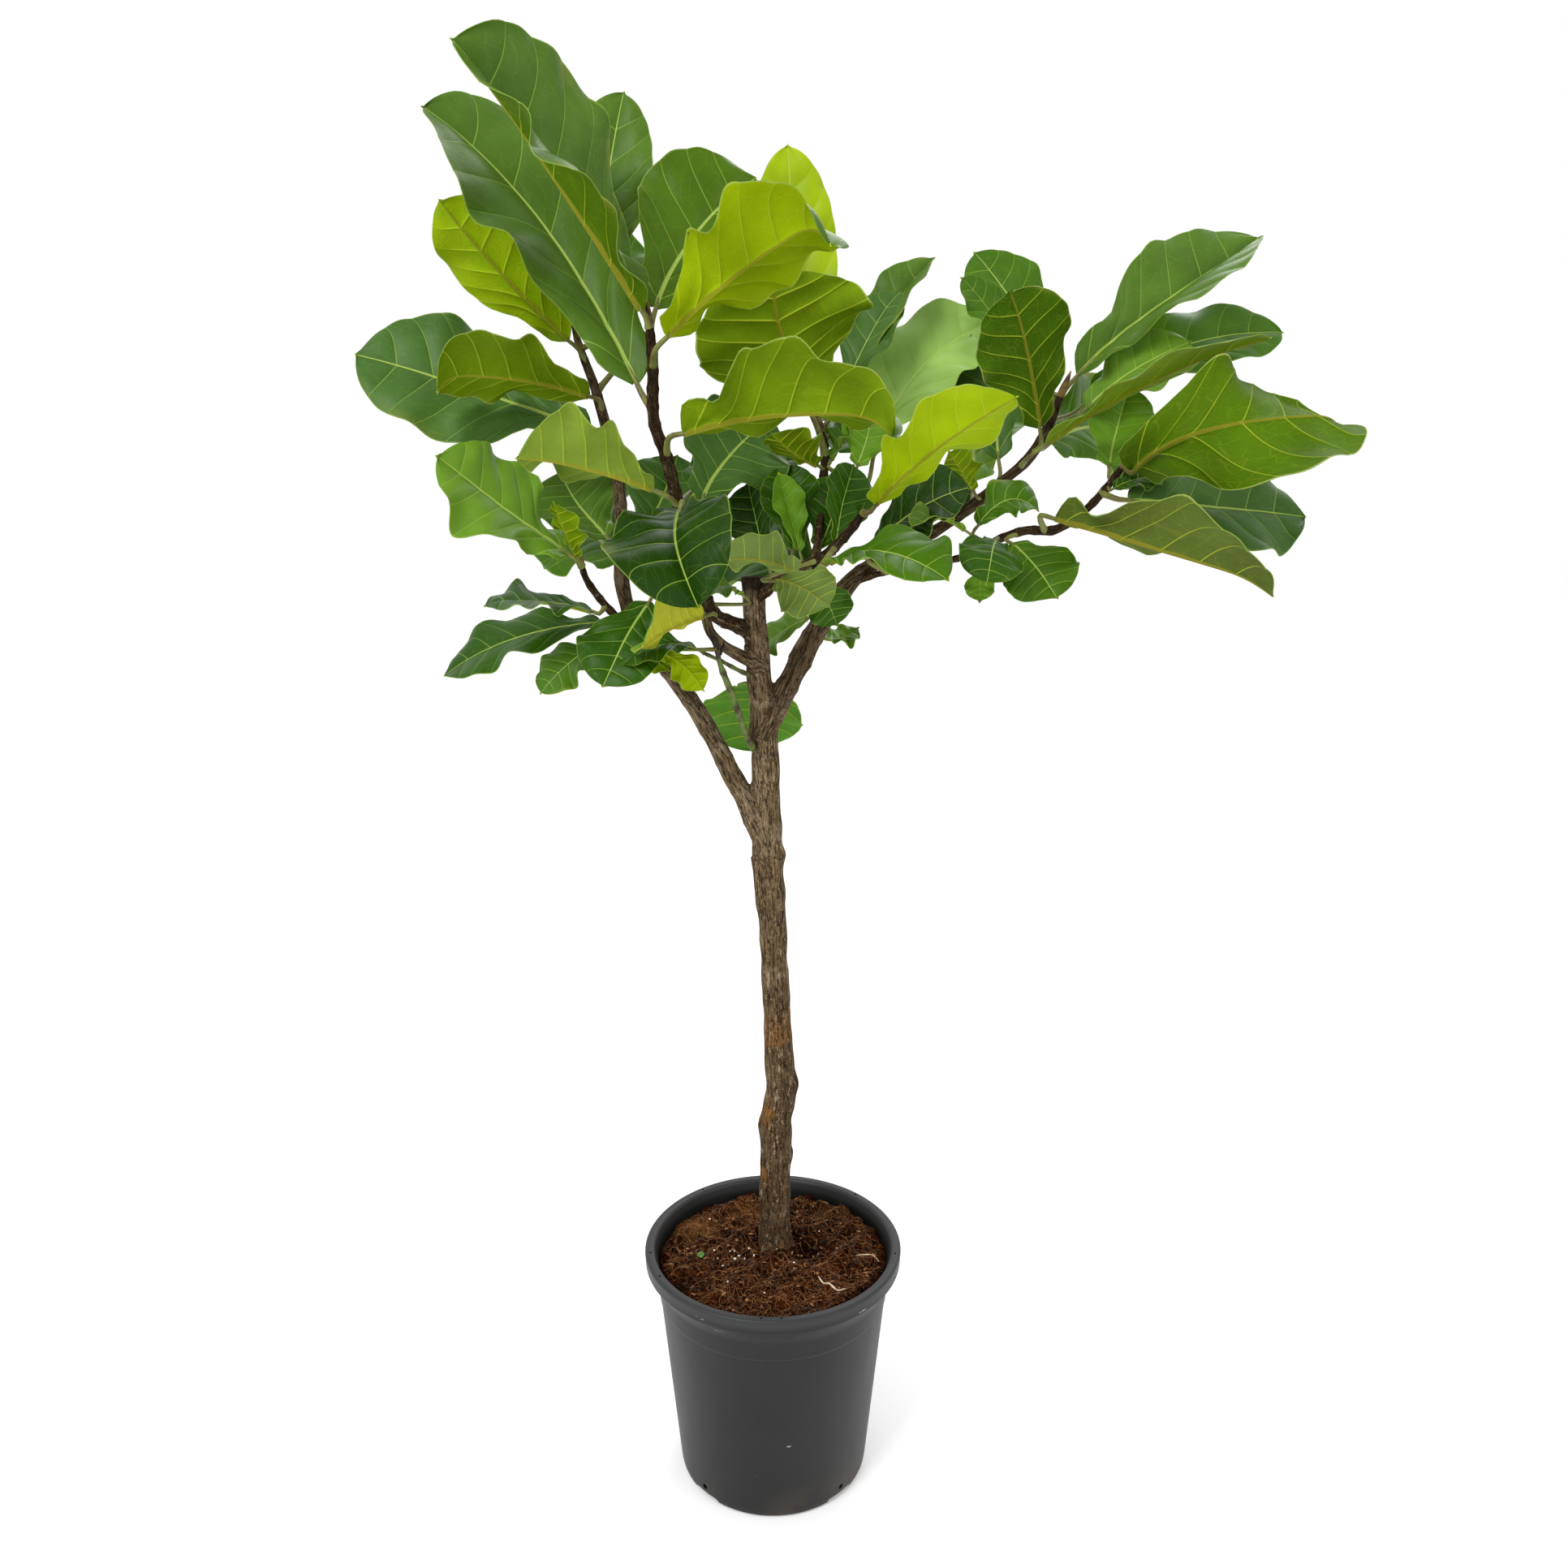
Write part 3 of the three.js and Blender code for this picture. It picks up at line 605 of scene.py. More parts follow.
# Knobs and old branch scars on the trunk and limbs: place and height and spread, in millimetres.
KNOBS = [
    [(-13, 20, 386), 3.2, 14], [(24, 18, 434), 3.2, 12], [(12, 16, 685), 3, 9], [(-16, 10, 808), 4, 7],
    [(14, 2, 560), 2.5, 6], [(-10, 6, 610), 2.5, 6], [(18, 12, 730), 3, 7], [(0, 36, 470), 4, 9],
    [(-70, 2, 838), 3, 5], [(-8, 34, 640), 4, 9], [(16, 30, 350), 4, 8], [(-5, -2, 500), 2, 7],
]
STUMP_TOP = (-18, 4, 960)
CUT_RADIUS = 0.013
CUT_DARK = (0.020, 0.009)      # below the stump's top, where the dark cut begins and is full
FURROWS = (170, 24)            # how fine the furrows are across and along a stem
LUMPS = (60, 45)
SCAR_WIDTH = 2.6               # millimetres, of a ring left by an old leaf
BUD_LENGTH = 24 * MM
# A bud along its length: share of the length and radius in millimetres.
BUD_SHAPE = ((-0.25, 2.6), (0.1, 3.8), (0.4, 3.4), (0.75, 1.9), (1, 0.35))
ROOT_COUNT = 5
TRUNK_FOOT = (2, 22)           # millimetres, where the trunk enters the soil
YOUNG_BARK = rgb(42, 30, 20)


def root_routes():
    """Short roots that flare from the trunk's foot and go down into the soil."""
    routes = []
    for i in range(ROOT_COUNT):
        turn = 2 * math.pi * (i + dice.uniform(-0.25, 0.25)) / ROOT_COUNT
        reach = dice.uniform(20, 27)
        route = []
        for out, height, radius in ((7, 270, 6.5), (11, 254, 7), (17, 242, 5), (reach, 232, 3.5)):
            x = TRUNK_FOOT[0] + out * math.cos(turn)
            route.append([x, TRUNK_FOOT[1] + out * math.sin(turn), height, radius])
        routes.append(smooth_route(route, 3))
    return routes


def swollen(route, spacing, height):
    """The route with rings of old leaf scars, spacing millimetres apart."""
    run = run_of(route) / MM
    phase = (run + dice.uniform(0, spacing)) % spacing
    off = np.minimum(phase, spacing - phase)
    ringed = route.copy()
    ringed[:, 3] *= 1 + hump(off, height, 0, SCAR_WIDTH)
    return ringed


def stem_grain(piece, routes, shades):
    """For each point of the wood, where it lies on its stem, its stem's radius and its shade."""
    marks = []
    for route, (old_end, young_end) in zip(routes, shades):
        along = headings(route)
        right = unit(np.cross(along, (0.3, 1, 0.1)))
        front = np.cross(along, right)
        run = run_of(route)
        for i in range(len(route)):
            shade = old_end + (young_end - old_end) * run[i] / run[-1]
            marks.append((route[i], right[i], front[i], run[i], shade))
    tree = kdtree.KDTree(len(marks))
    for i, (point, *_) in enumerate(marks):
        tree.insert(point[:3], i)
    tree.balance()
    places = places_of(piece)
    grain = np.empty_like(places)
    radii = np.empty(len(places))
    shade = np.empty(len(places))
    for i, place in enumerate(places):
        point, right, front, run, shade[i] = marks[tree.find(place)[1]]
        off = place - point[:3]
        grain[i] = (off @ right, off @ front, run)
        radii[i] = point[3]
    return places, grain, radii, shade


def woody_piece(name, routes, shades, finish, voxel, ridge, nodes):
    """Stems grown together into one skin, then given bark."""
    piece = strands(name, [(route, 0) for route in routes], 8, [finish])
    apply_modifier(piece, "REMESH", mode="VOXEL", voxel_size=voxel * MM)
    places, grain, radii, shade = stem_grain(piece, routes, shades)
    outward = normals_of(piece)
    lift = np.zeros(len(places))
    hollow = np.zeros(len(places))
    for i, (across, front, run) in enumerate(grain):
        furrow = noise.noise((across * FURROWS[0], front * FURROWS[0], run * FURROWS[1]))
        lump = noise.noise((across * LUMPS[0], front * LUMPS[0], run * LUMPS[1] + 9))
        crack = max(0, 1 - abs(furrow) * 9)
        lift[i] = radii[i] * ridge * (lump * 1.2 + furrow * 0.5 - crack * 0.15)
        hollow[i] = crack * 0.08
    for (x, y, z), height, spread in KNOBS:
        off = np.linalg.norm(places - np.array((x, y, z)) * MM, axis=1) / (spread * MM)
        lift += height * MM * np.exp(-off ** 2)
        hollow = np.maximum(hollow, 0.7 * np.exp(-(off * 1.6) ** 2))
    top = np.array(STUMP_TOP) * MM
    on_cut = np.linalg.norm(places[:, :2] - top[:2], axis=1) < CUT_RADIUS
    cut = smoothstep(places[:, 2], top[2] - CUT_DARK[0], top[2] - CUT_DARK[1]) * on_cut
    set_places(piece, places + outward * lift[:, None])
    give(piece, "grain", "FLOAT_VECTOR", grain)
    give(piece, "shade", "FLOAT", shade)
    give(piece, "hollow", "FLOAT", np.maximum(hollow, cut))
    smooth(piece)
    belongs(piece, nodes)


def add_wood():
    bark = bark_finish("bark", rgb(130, 110, 83), rgb(58, 45, 32), rgb(150, 132, 106), YOUNG_BARK)
    stem = bark_finish("stem_bark", rgb(92, 74, 52), rgb(34, 26, 19), rgb(84, 74, 50), YOUNG_BARK)
    green = plain_finish("green_twig", rgb(58, 44, 30), rgb(92, 108, 48), 90, 0.5, 0.0004)
    thick = [ROUTES["trunk"], swollen(ROUTES["left_limb"], 34, 0.07)]
    thick += [swollen(ROUTES["right_limb"], 26, 0.09), ROUTES["hugging_shoot"]]
    thick += [ROUTES["second_branch"]] + root_routes()
    shades = [(0, 0.1), (0, 1), (0.35, 1), (0.45, 0.8), (0.2, 0.5)] + [(0, 0)] * ROOT_COUNT
    woody_piece("trunk_and_limbs", thick, shades, bark, 1.3, 0.105, ["trunk", "left_limb", "right_limb"])
    thin_names = ["leader_stem", "left_shoot", "centre_stem", "centre_shoot", "right_stem"]
    thin = [swollen(ROUTES[name], 15, 0.16) for name in thin_names]
    woody_piece("side_stems", thin, [(0.3, 1)] * len(thin), stem, 0.9, 0.08, thin_names)
    twigs = [(swollen(ROUTES["low_twig"], 22, 0.3), 0), (swollen(ROUTES["side_twig"], 14, 0.25), 0)]
    strand_piece("green_twigs", twigs, 3, [green])


# The dark bud beside the green twig: a large and a small scale, as [x, y, z, radius].
DARK_BUD = (
    ([-47, -27, 892, 1.6], [-50, -29, 898, 2.4], [-52, -29, 905, 3.3], [-55, -30, 912, 1.8],
     [-57, -31, 917, 0.3]),
    ([-47, -27, 891, 1.2], [-46, -26, 896, 1.9], [-44, -25, 900, 1.3], [-44, -24, 903, 0.3]),
)


def add_buds():
    """The pointed sheath over the newest leaf at each stem's tip, and one dark bud lower down."""
    sheath = plain_finish("bud_sheath", rgb(62, 40, 22), rgb(116, 96, 44), 130, 0.5, 0.0004)
    paths = []
    for name in ("left_limb", "leader_stem", "centre_shoot", "right_limb", "right_stem", "left_shoot"):
        tip = ROUTES[name][-1, :3]
        heading = headings(ROUTES[name])[-1]
        path = []
        for share, radius in BUD_SHAPE:
            path.append([*((tip + heading * BUD_LENGTH * share) / MM), radius])
        paths.append((smooth_route(path, 2), 0))
    strand_piece("buds", paths, 4, [sheath])
    black = plain_finish("dark_bud", rgb(20, 14, 10), rgb(46, 34, 24), 160, 0.55, 0.0005)
    scales = [(smooth_route(scale, 1.5), 0) for scale in DARK_BUD]
    strand_piece("dark_bud", scales, 3, [black])


# ---- Leaves --------------------------------------------------------------------------------------
# As in the solid model: name, stem, the midrib's start, middle and end in millimetres, width, turn,
# twist, fold and hook in degrees, the stalk's place on its stem from 0 to 1, or None for the nearest
# place, then the tones of the upper and of the under face.
LEAVES = [
    ["top", "leader_stem", [-110, -45, 1192], [-181, -85, 1302], [-240, -130, 1380],
     150, 64, -50, 42, 0, 1, "grey", "moss"],
    ["high", "leader_stem", [-117, -32, 1132], [-201, 10, 1266], [-295, 0, 1361],
     156, 33, 34, 29, 5, 0.78, "grey", "moss"],
    ["upright", "left_limb", [-155, 72, 1195], [-155, 95, 1292], [-138, 120, 1395],
     85, 0, 0, 20, 0, 1, "grey", "moss"],
    ["back_pale", "left_limb", [-188, 52, 1172], [-240, 30, 1225], [-288, 5, 1285],
     95, 145, 0, 25, 0, 0.96, "mid", "bright"],
    ["outer", "left_limb", [-172, 62, 1090], [-285, 70, 1130], [-390, 70, 1160],
     130, 20, 0, 14, 0, 0.8, "blue", "olive"],
    ["olive", "left_limb", [-170, 44, 1122], [-240, 10, 1138], [-302, -15, 1138],
     105, 110, 0, 22, 50, 0.88, "grey", "olive"],
    ["middle", "leader_stem", [-104, -54, 1042], [-160, -75, 1062], [-212, -95, 1070],
     115, 107, 0, 30, 0, 0.5, "mid", "straw"],
    ["light", "left_shoot", [-184, -28, 984], [-235, -45, 1025], [-288, -60, 1070],
     116, 48, 0, 15, 0, 0.97, "light", "olive"],
    ["front", "leader_stem", [-79, -66, 1025], [-75, -150, 999], [-57, -200, 961],
     124, 4, 0, 40, 13, 0.36, "deep", "olive"],
    ["low_left", "left_shoot", [-165, -16, 930], [-205, -28, 940], [-258, -40, 943],
     85, 70, 0, 14, 20, 0.55, "dark", "olive"],
    ["pale", "left_limb", [-165, 40, 912], [-255, 50, 893], [-322, 55, 858],
     85, 50, 0, 14, 0, 0.48, "dark", "olive"],
    ["small", "left_shoot", [-156, -14, 899], [-185, -22, 885], [-213, -30, 857],
     60, 40, 0, 14, 0, 0.3, "mid", "olive"],
    ["hanging", "leader_stem", [-113, -8, 938], [-133, -38, 907], [-151, -64, 870],
     78, 10, 0, 10, 0, 0.24, "dark", "olive"],
    ["yellow", "leader_stem", [-62, -36, 928], [-90, -72, 922], [-110, -102, 912],
     75, 105, 0, 30, 0, 0.15, "fresh", "yellow"],
    ["behind_trunk", "trunk", [-15, 50, 852], [-20, 90, 815], [-20, 108, 768],
     105, 180, 0, 12, 0, None, "mid", "spring"],
    ["dark_top", "leader_stem", [-100, -20, 1195], [-72, 20, 1255], [-15, 60, 1312],
     130, 10, 0, 14, 0, 0.95, "moss", "olive"],
    ["bright", "leader_stem", [-86, -62, 1170], [-15, -95, 1225], [55, -130, 1258],
     128, -111, 0, 22, 70, 0.89, "grey", "lime"],
    ["lime_behind", "centre_shoot", [40, 62, 1115], [25, 85, 1225], [15, 95, 1345],
     80, 0, 0, 16, 0, 1, "lime", "lime"],
    ["olive_up", "centre_shoot", [34, 20, 1112], [12, -6, 1168], [0, -30, 1222],
     160, 180, 0, 10, 0, 0.84, "dark", "olive"],
    ["broad", "leader_stem", [-74, -62, 1090], [20, -115, 1106], [105, -150, 1101],
     140, -103, 0, 32, 35, 0.64, "grey", "olive"],
    ["blue", "leader_stem", [-62, -8, 1032], [-42, 30, 1066], [0, 60, 1102],
     105, 0, 0, 14, 0, 0.46, "blue", "olive"],
    ["curl_up", "centre_shoot", [98, 74, 1068], [140, 100, 1145], [212, 112, 1192],
     115, -35, 0, 20, 0, 0.62, "mist", "moss"],
    ["narrow", "centre_shoot", [72, 72, 1122], [110, 100, 1195], [155, 120, 1250],
     60, -40, 0, 40, 0, 0.92, "grey", "olive"],
    ["lime_front", "centre_stem", [90, -96, 1032], [128, -142, 1074], [190, -182, 1118],
     95, -116, 0, 22, 0, 1, "fresh", "lime"],
    ["deep", "right_limb", [125, 66, 998], [155, 82, 1022], [192, 94, 1040],
     80, -40, 0, 14, 0, 0.55, "deep", "olive"],
    ["low_middle", "centre_stem", [51, -80, 981], [96, -122, 994], [145, -152, 975],
     92, -55, 0, 18, 0, None, "mid", "olive"],
    ["slim_left", "centre_stem", [-4, 18, 972], [-14, 34, 1006], [-22, 46, 1042],
     60, -30, 0, 35, 0, None, "deep", "olive"],
    ["slim_right", "centre_stem", [58, -30, 992], [64, -10, 1022], [75, 12, 1060],
     60, 30, 0, 35, 0, None, "dark", "olive"],
    ["light_low", "centre_stem", [22, -58, 970], [-10, -85, 985], [-48, -106, 984],
     65, 110, 0, 25, 0, None, "mid", "soft"],
    ["olive_low", "centre_stem", [5, -74, 965], [25, -98, 962], [49, -116, 949],
     58, 160, 0, 12, 0, 0.58, "mid", "soft"],
    ["far_right", "right_limb", [250, 54, 1152], [230, 90, 1205], [195, 120, 1255],
     75, 10, 0, 16, 0, 0.98, "mid", "olive"],
    ["olive_right", "right_limb", [244, 6, 1094], [227, -25, 1150], [202, -60, 1205],
     90, 180, 0, 14, 0, 0.87, "dark", "shade"],
    ["upright_right", "right_limb", [216, 62, 1065], [214, 85, 1120], [217, 110, 1190],
     80, 0, 0, 18, 0, 0.76, "blue", "olive"],
    ["high_right", "right_limb", [284, 44, 1141], [351, 55, 1198], [457, 96, 1262],
     106, -39, -19, 38, -9, 1, "grey", "bright"],
    ["back_right", "right_limb", [302, 62, 1122], [390, 100, 1168], [500, 135, 1184],
     80, -25, 0, 16, 0, 0.945, "mid", "olive"],
    ["mid_right", "right_limb", [290, 26, 1112], [335, 36, 1146], [385, 44, 1170],
     70, -30, 0, 16, 0, 0.91, "light", "olive"],
    ["long_right", "right_limb", [250, 2, 1080], [330, -40, 1134], [420, -66, 1168],
     85, -92, 0, 15, 0, 0.83, "mid", "olive"],
    ["big_right", "right_stem", [321, -39, 1058], [369, -110, 1094], [496, -63, 1104],
     128, -200, -96, 8, -24, 1, "mid", "moss"],
    ["inner_right", "right_stem", [310, 8, 1060], [320, 35, 1092], [335, 55, 1130],
     72, 0, 0, 16, 0, 0.95, "fresh", "olive"],
    ["dark_right", "right_stem", [320, -34, 1032], [399, -10, 1025], [489, 0, 1015],
     122, -34, 0, 14, 0, 0.89, "blue", "olive"],
    ["front_right", "right_stem", [250, -61, 1017], [316, -116, 1000], [414, -156, 970],
     114, -96, 35, 32, 20, 0.67, "grey", "dull"],
    ["hang_right", "right_stem", [200, -50, 998], [191, -88, 990], [184, -112, 968],
     60, 0, 0, 10, 0, 0.46, "dark", "olive"],
    ["drop_right", "right_stem", [216, -36, 994], [230, -58, 980], [249, -84, 952],
     72, -10, 0, 10, 0, 0.6, "mid", "olive"],
    ["back_high", "left_limb", [-150, 90, 1172], [-175, 160, 1230], [-205, 235, 1280],
     120, 0, 0, 14, 0, 0.92, "mid", "olive"],
    ["back_middle", "leader_stem", [-70, 28, 1040], [-42, 110, 1065], [-15, 200, 1095],
     120, 0, 0, 14, 0, None, "dark", "olive"],
    ["back_centre", "centre_shoot", [62, 78, 1072], [84, 160, 1112], [98, 240, 1150],
     120, 0, 0, 14, 0, 0.42, "mid", "moss"],
    ["back_tall", "right_limb", [196, 88, 1045], [206, 170, 1100], [218, 250, 1150],
     115, 0, 0, 14, 0, 0.7, "light", "olive"],
    ["back_far_right", "right_limb", [268, 78, 1080], [325, 160, 1095], [385, 235, 1085],
     125, 0, 0, 14, 0, None, "mid", "olive"],
    ["back_low", "right_limb", [32, 68, 945], [0, 140, 965], [-35, 215, 980],
     125, 0, 0, 14, 0, None, "dark", "olive"],
    ["back_left", "left_limb", [-148, 68, 970], [-185, 140, 990], [-218, 215, 1000],
     125, 0, 0, 14, 0, None, "mid", "olive"],
]

# Small or half-hidden leaves that the solid model leaves out, as rows of the same kind.
SMALL_LEAVES = [
    ["grey_back", "left_limb", [-160, 70, 990], [-190, 95, 1020], [-210, 115, 1050],
     90, 20, 0, 16, 0, None, "grey", "olive"],
    ["grey_inner", "left_limb", [-130, 75, 990], [-110, 105, 1025], [-95, 130, 1065],
     80, 0, 0, 16, 0, None, "blue", "olive"],
    ["low_dark", "side_twig", [-68, -24, 896], [-98, -40, 903], [-134, -55, 888],
     45, 50, 0, 16, 0, 1, "dark", "olive"],
    ["spotted", "low_twig", [-103, -36, 894], [-82, -40, 885], [-63, -42, 862],
     36, 150, 0, 14, 0, 1, "fresh", "lime"],
    ["lime_low", "left_limb", [-118, -8, 891], [-109, -20, 886], [-96, -28, 878],
     24, 150, 0, 14, 0, None, "fresh", "lime"],
    ["sprig", "left_shoot", [-176, -28, 982], [-182, -44, 1004], [-190, -54, 1030],
     48, 120, 0, 20, 0, 1, "mid", "olive"],
    ["slim_middle", "centre_stem", [20, -2, 985], [20, 15, 1015], [12, 30, 1060],
     60, 0, 0, 30, 0, None, "dark", "olive"],
    ["centre_lime", "centre_stem", [26, -12, 984], [18, -5, 1013], [7, 0, 1053],
     36, 20, 0, 40, 0, None, "fresh", "lime"],
    ["centre_dark", "centre_stem", [45, -15, 988], [56, 5, 1014], [71, 15, 1050],
     62, -20, 0, 25, 0, None, "dark", "olive"],
    ["centre_olive", "centre_shoot", [42, 28, 1060], [24, 12, 1070], [2, -4, 1088],
     64, 110, 0, 25, 0, None, "mid", "olive"],
    ["striped", "centre_shoot", [56, 38, 1064], [67, 42, 1083], [82, 46, 1106],
     42, -60, 0, 40, 0, None, "mid", "pale"],
    ["deep_front", "right_stem", [96, 6, 986], [130, -8, 1020], [178, -18, 1042],
     88, -45, 0, 18, 0, None, "deep", "olive"],
    ["pale_roll", "right_stem", [176, -18, 1004], [150, -30, 1016], [126, -44, 1010],
     38, 60, 0, 32, 0, None, "grey", "pale"],
    ["side_right", "right_stem", [190, -6, 1008], [216, -2, 1030], [243, -5, 1022],
     62, -45, 0, 16, 0, None, "mid", "olive"],
    ["small_hanging", "right_stem", [190, -22, 972], [190, -26, 958], [190, -30, 942],
     28, 0, 0, 12, 0, None, "fresh", "olive"],
    ["inner_green", "centre_shoot", [80, 28, 1060], [88, 32, 1084], [94, 40, 1108],
     52, 0, 0, 18, 0, None, "fresh", "olive"],
    ["inner_olive", "right_limb", [188, 26, 1038], [176, 20, 1056], [164, 20, 1072],
     42, 120, 0, 18, 0, None, "mid", "olive"],
    ["under_right", "right_stem", [306, -30, 1042], [328, -24, 1050], [352, -16, 1052],
     36, -40, 0, 16, 0, None, "dark", "olive"],
    ["blue_grey", "centre_shoot", [66, 64, 1122], [96, 88, 1184], [122, 100, 1218],
     56, -30, 0, 20, 0, 1, "blue", "olive"],
    ["small_top_right", "right_limb", [226, 58, 1160], [204, 68, 1198], [178, 76, 1228],
     42, 20, 0, 20, 0, 1, "mid", "olive"],
    ["pale_low", "leader_stem", [-28, -14, 946], [-44, -26, 954], [-64, -36, 948],
     46, 60, 0, 18, 0, None, "grey", "pale"],
    ["dark_low", "centre_stem", [38, -36, 958], [50, -32, 942], [60, -28, 920],
     44, 0, 0, 16, 0, None, "dark", "olive"],
    ["light_behind", "right_limb", [34, 48, 914], [8, 62, 898], [-16, 66, 878],
     64, 60, 0, 14, 0, None, "light", "olive"],
    ["green_behind", "right_limb", [50, 50, 896], [66, 60, 893], [84, 66, 902],
     46, -60, 0, 14, 0, None, "fresh", "olive"],
]

# Some tones carry painted light. The palest upper tone, rgb(146, 182, 92), paints light onto the leaf
# curl_up, which lies in shade. The palest tones bright and lime are partly the leaves' own colour and
# partly painted light shining through them from behind.
TONES = {
    "deep": rgb(32, 60, 4), "dark": rgb(46, 80, 9), "mid": rgb(66, 102, 17),
    "light": rgb(98, 134, 42), "grey": rgb(76, 106, 34), "blue": rgb(68, 100, 42),
    "fresh": rgb(92, 132, 30), "moss": rgb(72, 102, 1), "olive": rgb(100, 126, 8),
    "bright": rgb(128, 156, 1), "lime": rgb(146, 170, 2), "pale": rgb(102, 138, 38),
    "yellow": rgb(164, 166, 48), "dull": rgb(82, 98, 40),
    "soft": rgb(106, 126, 66), "mist": rgb(146, 182, 92), "straw": rgb(122, 146, 54),
    "spring": rgb(82, 130, 46), "shade": rgb(60, 90, 2),
}
VIEW_FROM_ABOVE = math.radians(15)
TOWARD_VIEWER = np.array((0, -math.cos(VIEW_FROM_ABOVE), math.sin(VIEW_FROM_ABOVE)))
STATIONS = 120                 # along a midrib
VEINS = (0, 0.06, 0.18, 0.33, 0.50, 0.67, 0.83, 1)
ROWS_BETWEEN = (0, 0.04, 0.12, 0.26, 0.42, 0.58, 0.74, 0.88, 0.96)
HALF_COLUMNS = 16
WIDEST_TO_TIP = 1.5            # above 1 moves the widest place toward the tip
BLUNTNESS = 0.55               # below 1 rounds the blade's ends
WAIST = (0.15, 0.27, 0.11)     # the fiddle's waist: depth, place and spread, as shares
FOOT_LOBES = (0.16, 0.06, 0.06)
FOOT_EASE = 0.12               # share of the blade over which veins and quilting begin
TIP_EASE = 0.86                # and from where they die away
SWEEP = 0.27                   # how far forward a side vein runs, as a share of the blade
CURL = math.radians(-20)       # further bend of each half out to its margin
RIPPLE = 4 * MM                # height of the margin's ripple
HOOK_START = 0.76
LEAST_HALF = 0.8 * MM
SKIN = 0.5 * MM                # blade thickness between its veins
SLIM_BELOW = 95                # a narrower blade shows a slimmer midrib
THICKEST = 5 * MM
USUAL_WIDTH = 130              # millimetres; veins, midrib and stalk are drawn for this width
CALMEST = 0.35                 # how wavy the smallest leaves are beside the widest
CALM_WIDTHS = (45, 115)        # millimetres, between which the waves grow
SCALLOP = 0.035                # how far the outline swings, as a share of the half width
SCALLOP_WAVES = 1.7            # along the blade
RUFFLE_WAVES = (2.1, 4.3)      # long and short waves of the margin, along the blade
SWAY = 0.012                   # slow rise and fall of each half, as a share of the width
WANDER = 0.008                 # how far the midrib wanders sideways, as a share of the width
CLOUDING = 0.16                # how far the tone varies over a blade
CLOUD_SCALE = 24
TIP_LENGTH = 3 * MM
SPINE_RADII = (0.4, 1.7)       # millimetres: the midrib's radius at its tip, and what its foot adds
SPINE_ACROSS = np.array((0, 0.8, 1.7))     # the middle columns' places, in radii of the midrib
SPINE_RAISED = np.array((0.3, 0.12, 0))    # how far they stand above the blade
SPINE_DEPTH = np.array((1.9, 1.0, 0.12))   # how thick the midrib is under them
VEIN_WIDTH = 0.85 * MM
OFF_VEIN = 9                   # vein widths away: no vein is drawn
SHARPEST = 62                  # degrees between faces that still shade as one
YELLOWED = rgb(150, 150, 66)   # tint of a tired leaf's margin
STALK_RADII = (3.2, 2.5, 2.1, 1.1)         # millimetres, from the stem into the blade
STALK_BEND = 0.45              # where the stalk bends, as a share of its reach back from the blade
STALK_INSIDE = 0.10            # how far it runs on under the blade, as a share of the blade
STALK_UNDER = 1 * MM
STALK_FOOT = (0.35, 0, 0.08)   # swelling at the stem: height, place and spread, as shares


def outline_share(t):
    """Half the width at t, as a share of the widest half."""
    body = np.sin(np.pi * np.clip(t, 0, 1) ** WIDEST_TO_TIP) ** BLUNTNESS
    return body - hump(t, *WAIST) + hump(t, *FOOT_LOBES)


def turned(vectors, axes, angles):
    """Vectors at right angles to their axes, turned about them."""
    angles = np.asarray(angles)[..., None]
    return vectors * np.cos(angles) + np.cross(axes, vectors) * np.sin(angles)


def lay_midrib(leaf):
    start, middle, end = (np.array(leaf[key]) * MM for key in ("start", "middle", "end"))
    control = 2 * middle - 0.5 * start - 0.5 * end
    u = np.linspace(0, 1, 401)[:, None]
    line = (1 - u) ** 2 * start + 2 * u * (1 - u) * control + u * u * end
    run = run_of(line)
    t = np.linspace(0, 1, STATIONS + 1)
    at = np.interp(t, run / run[-1], u[:, 0])[:, None]
    tangent = unit((1 - at) * (control - start) + at * (end - control))
    along = unit(end - start)
    face = unit(TOWARD_VIEWER - TOWARD_VIEWER @ along * along)
    face = turned(face, along, math.radians(leaf["turn"]))
    upper = unit(np.cross(np.cross(along, face), tangent))
    bend = math.radians(leaf["hook"]) * smoothstep(t, HOOK_START, 1)[:, None]
    heading = tangent * np.cos(bend) - upper * np.sin(bend)
    face = upper * np.cos(bend) + tangent * np.sin(bend)
    face = turned(face, heading, math.radians(leaf["twist"]) * (t - 0.5))
    middles = (heading[1:] + heading[:-1]) * 0.5 * run[-1] / STATIONS
    place = start + np.vstack([np.zeros(3), np.cumsum(middles, axis=0)])
    return {"t": t, "place": place, "heading": heading, "face": face, "length": run[-1]}


def along_midrib(rib, key, t):
    return np.stack([np.interp(t, rib["t"], rib[key][:, axis]) for axis in range(3)], axis=-1)


def blade_rows():
    rows = []
    for low, high in zip(VEINS[:-1], VEINS[1:]):
        rows += [low + (high - low) * share for share in ROWS_BETWEEN]
    return np.array(rows + [1.0])


ROWS = blade_rows()


def blade_grid(name):
    """A flat grid, with each point's column, counted both ways from the midrib, and its row."""
    alone()
    columns = 2 * HALF_COLUMNS
    bpy.ops.mesh.primitive_grid_add(x_subdivisions=columns, y_subdivisions=len(ROWS) - 1, size=2)
    piece = bpy.context.object
    piece.name = name
    flat = places_of(piece)
    column = np.rint((flat[:, 0] + 1) / 2 * columns).astype(int) - HALF_COLUMNS
    row = np.rint((flat[:, 1] + 1) / 2 * (len(ROWS) - 1)).astype(int)
    return piece, column, row


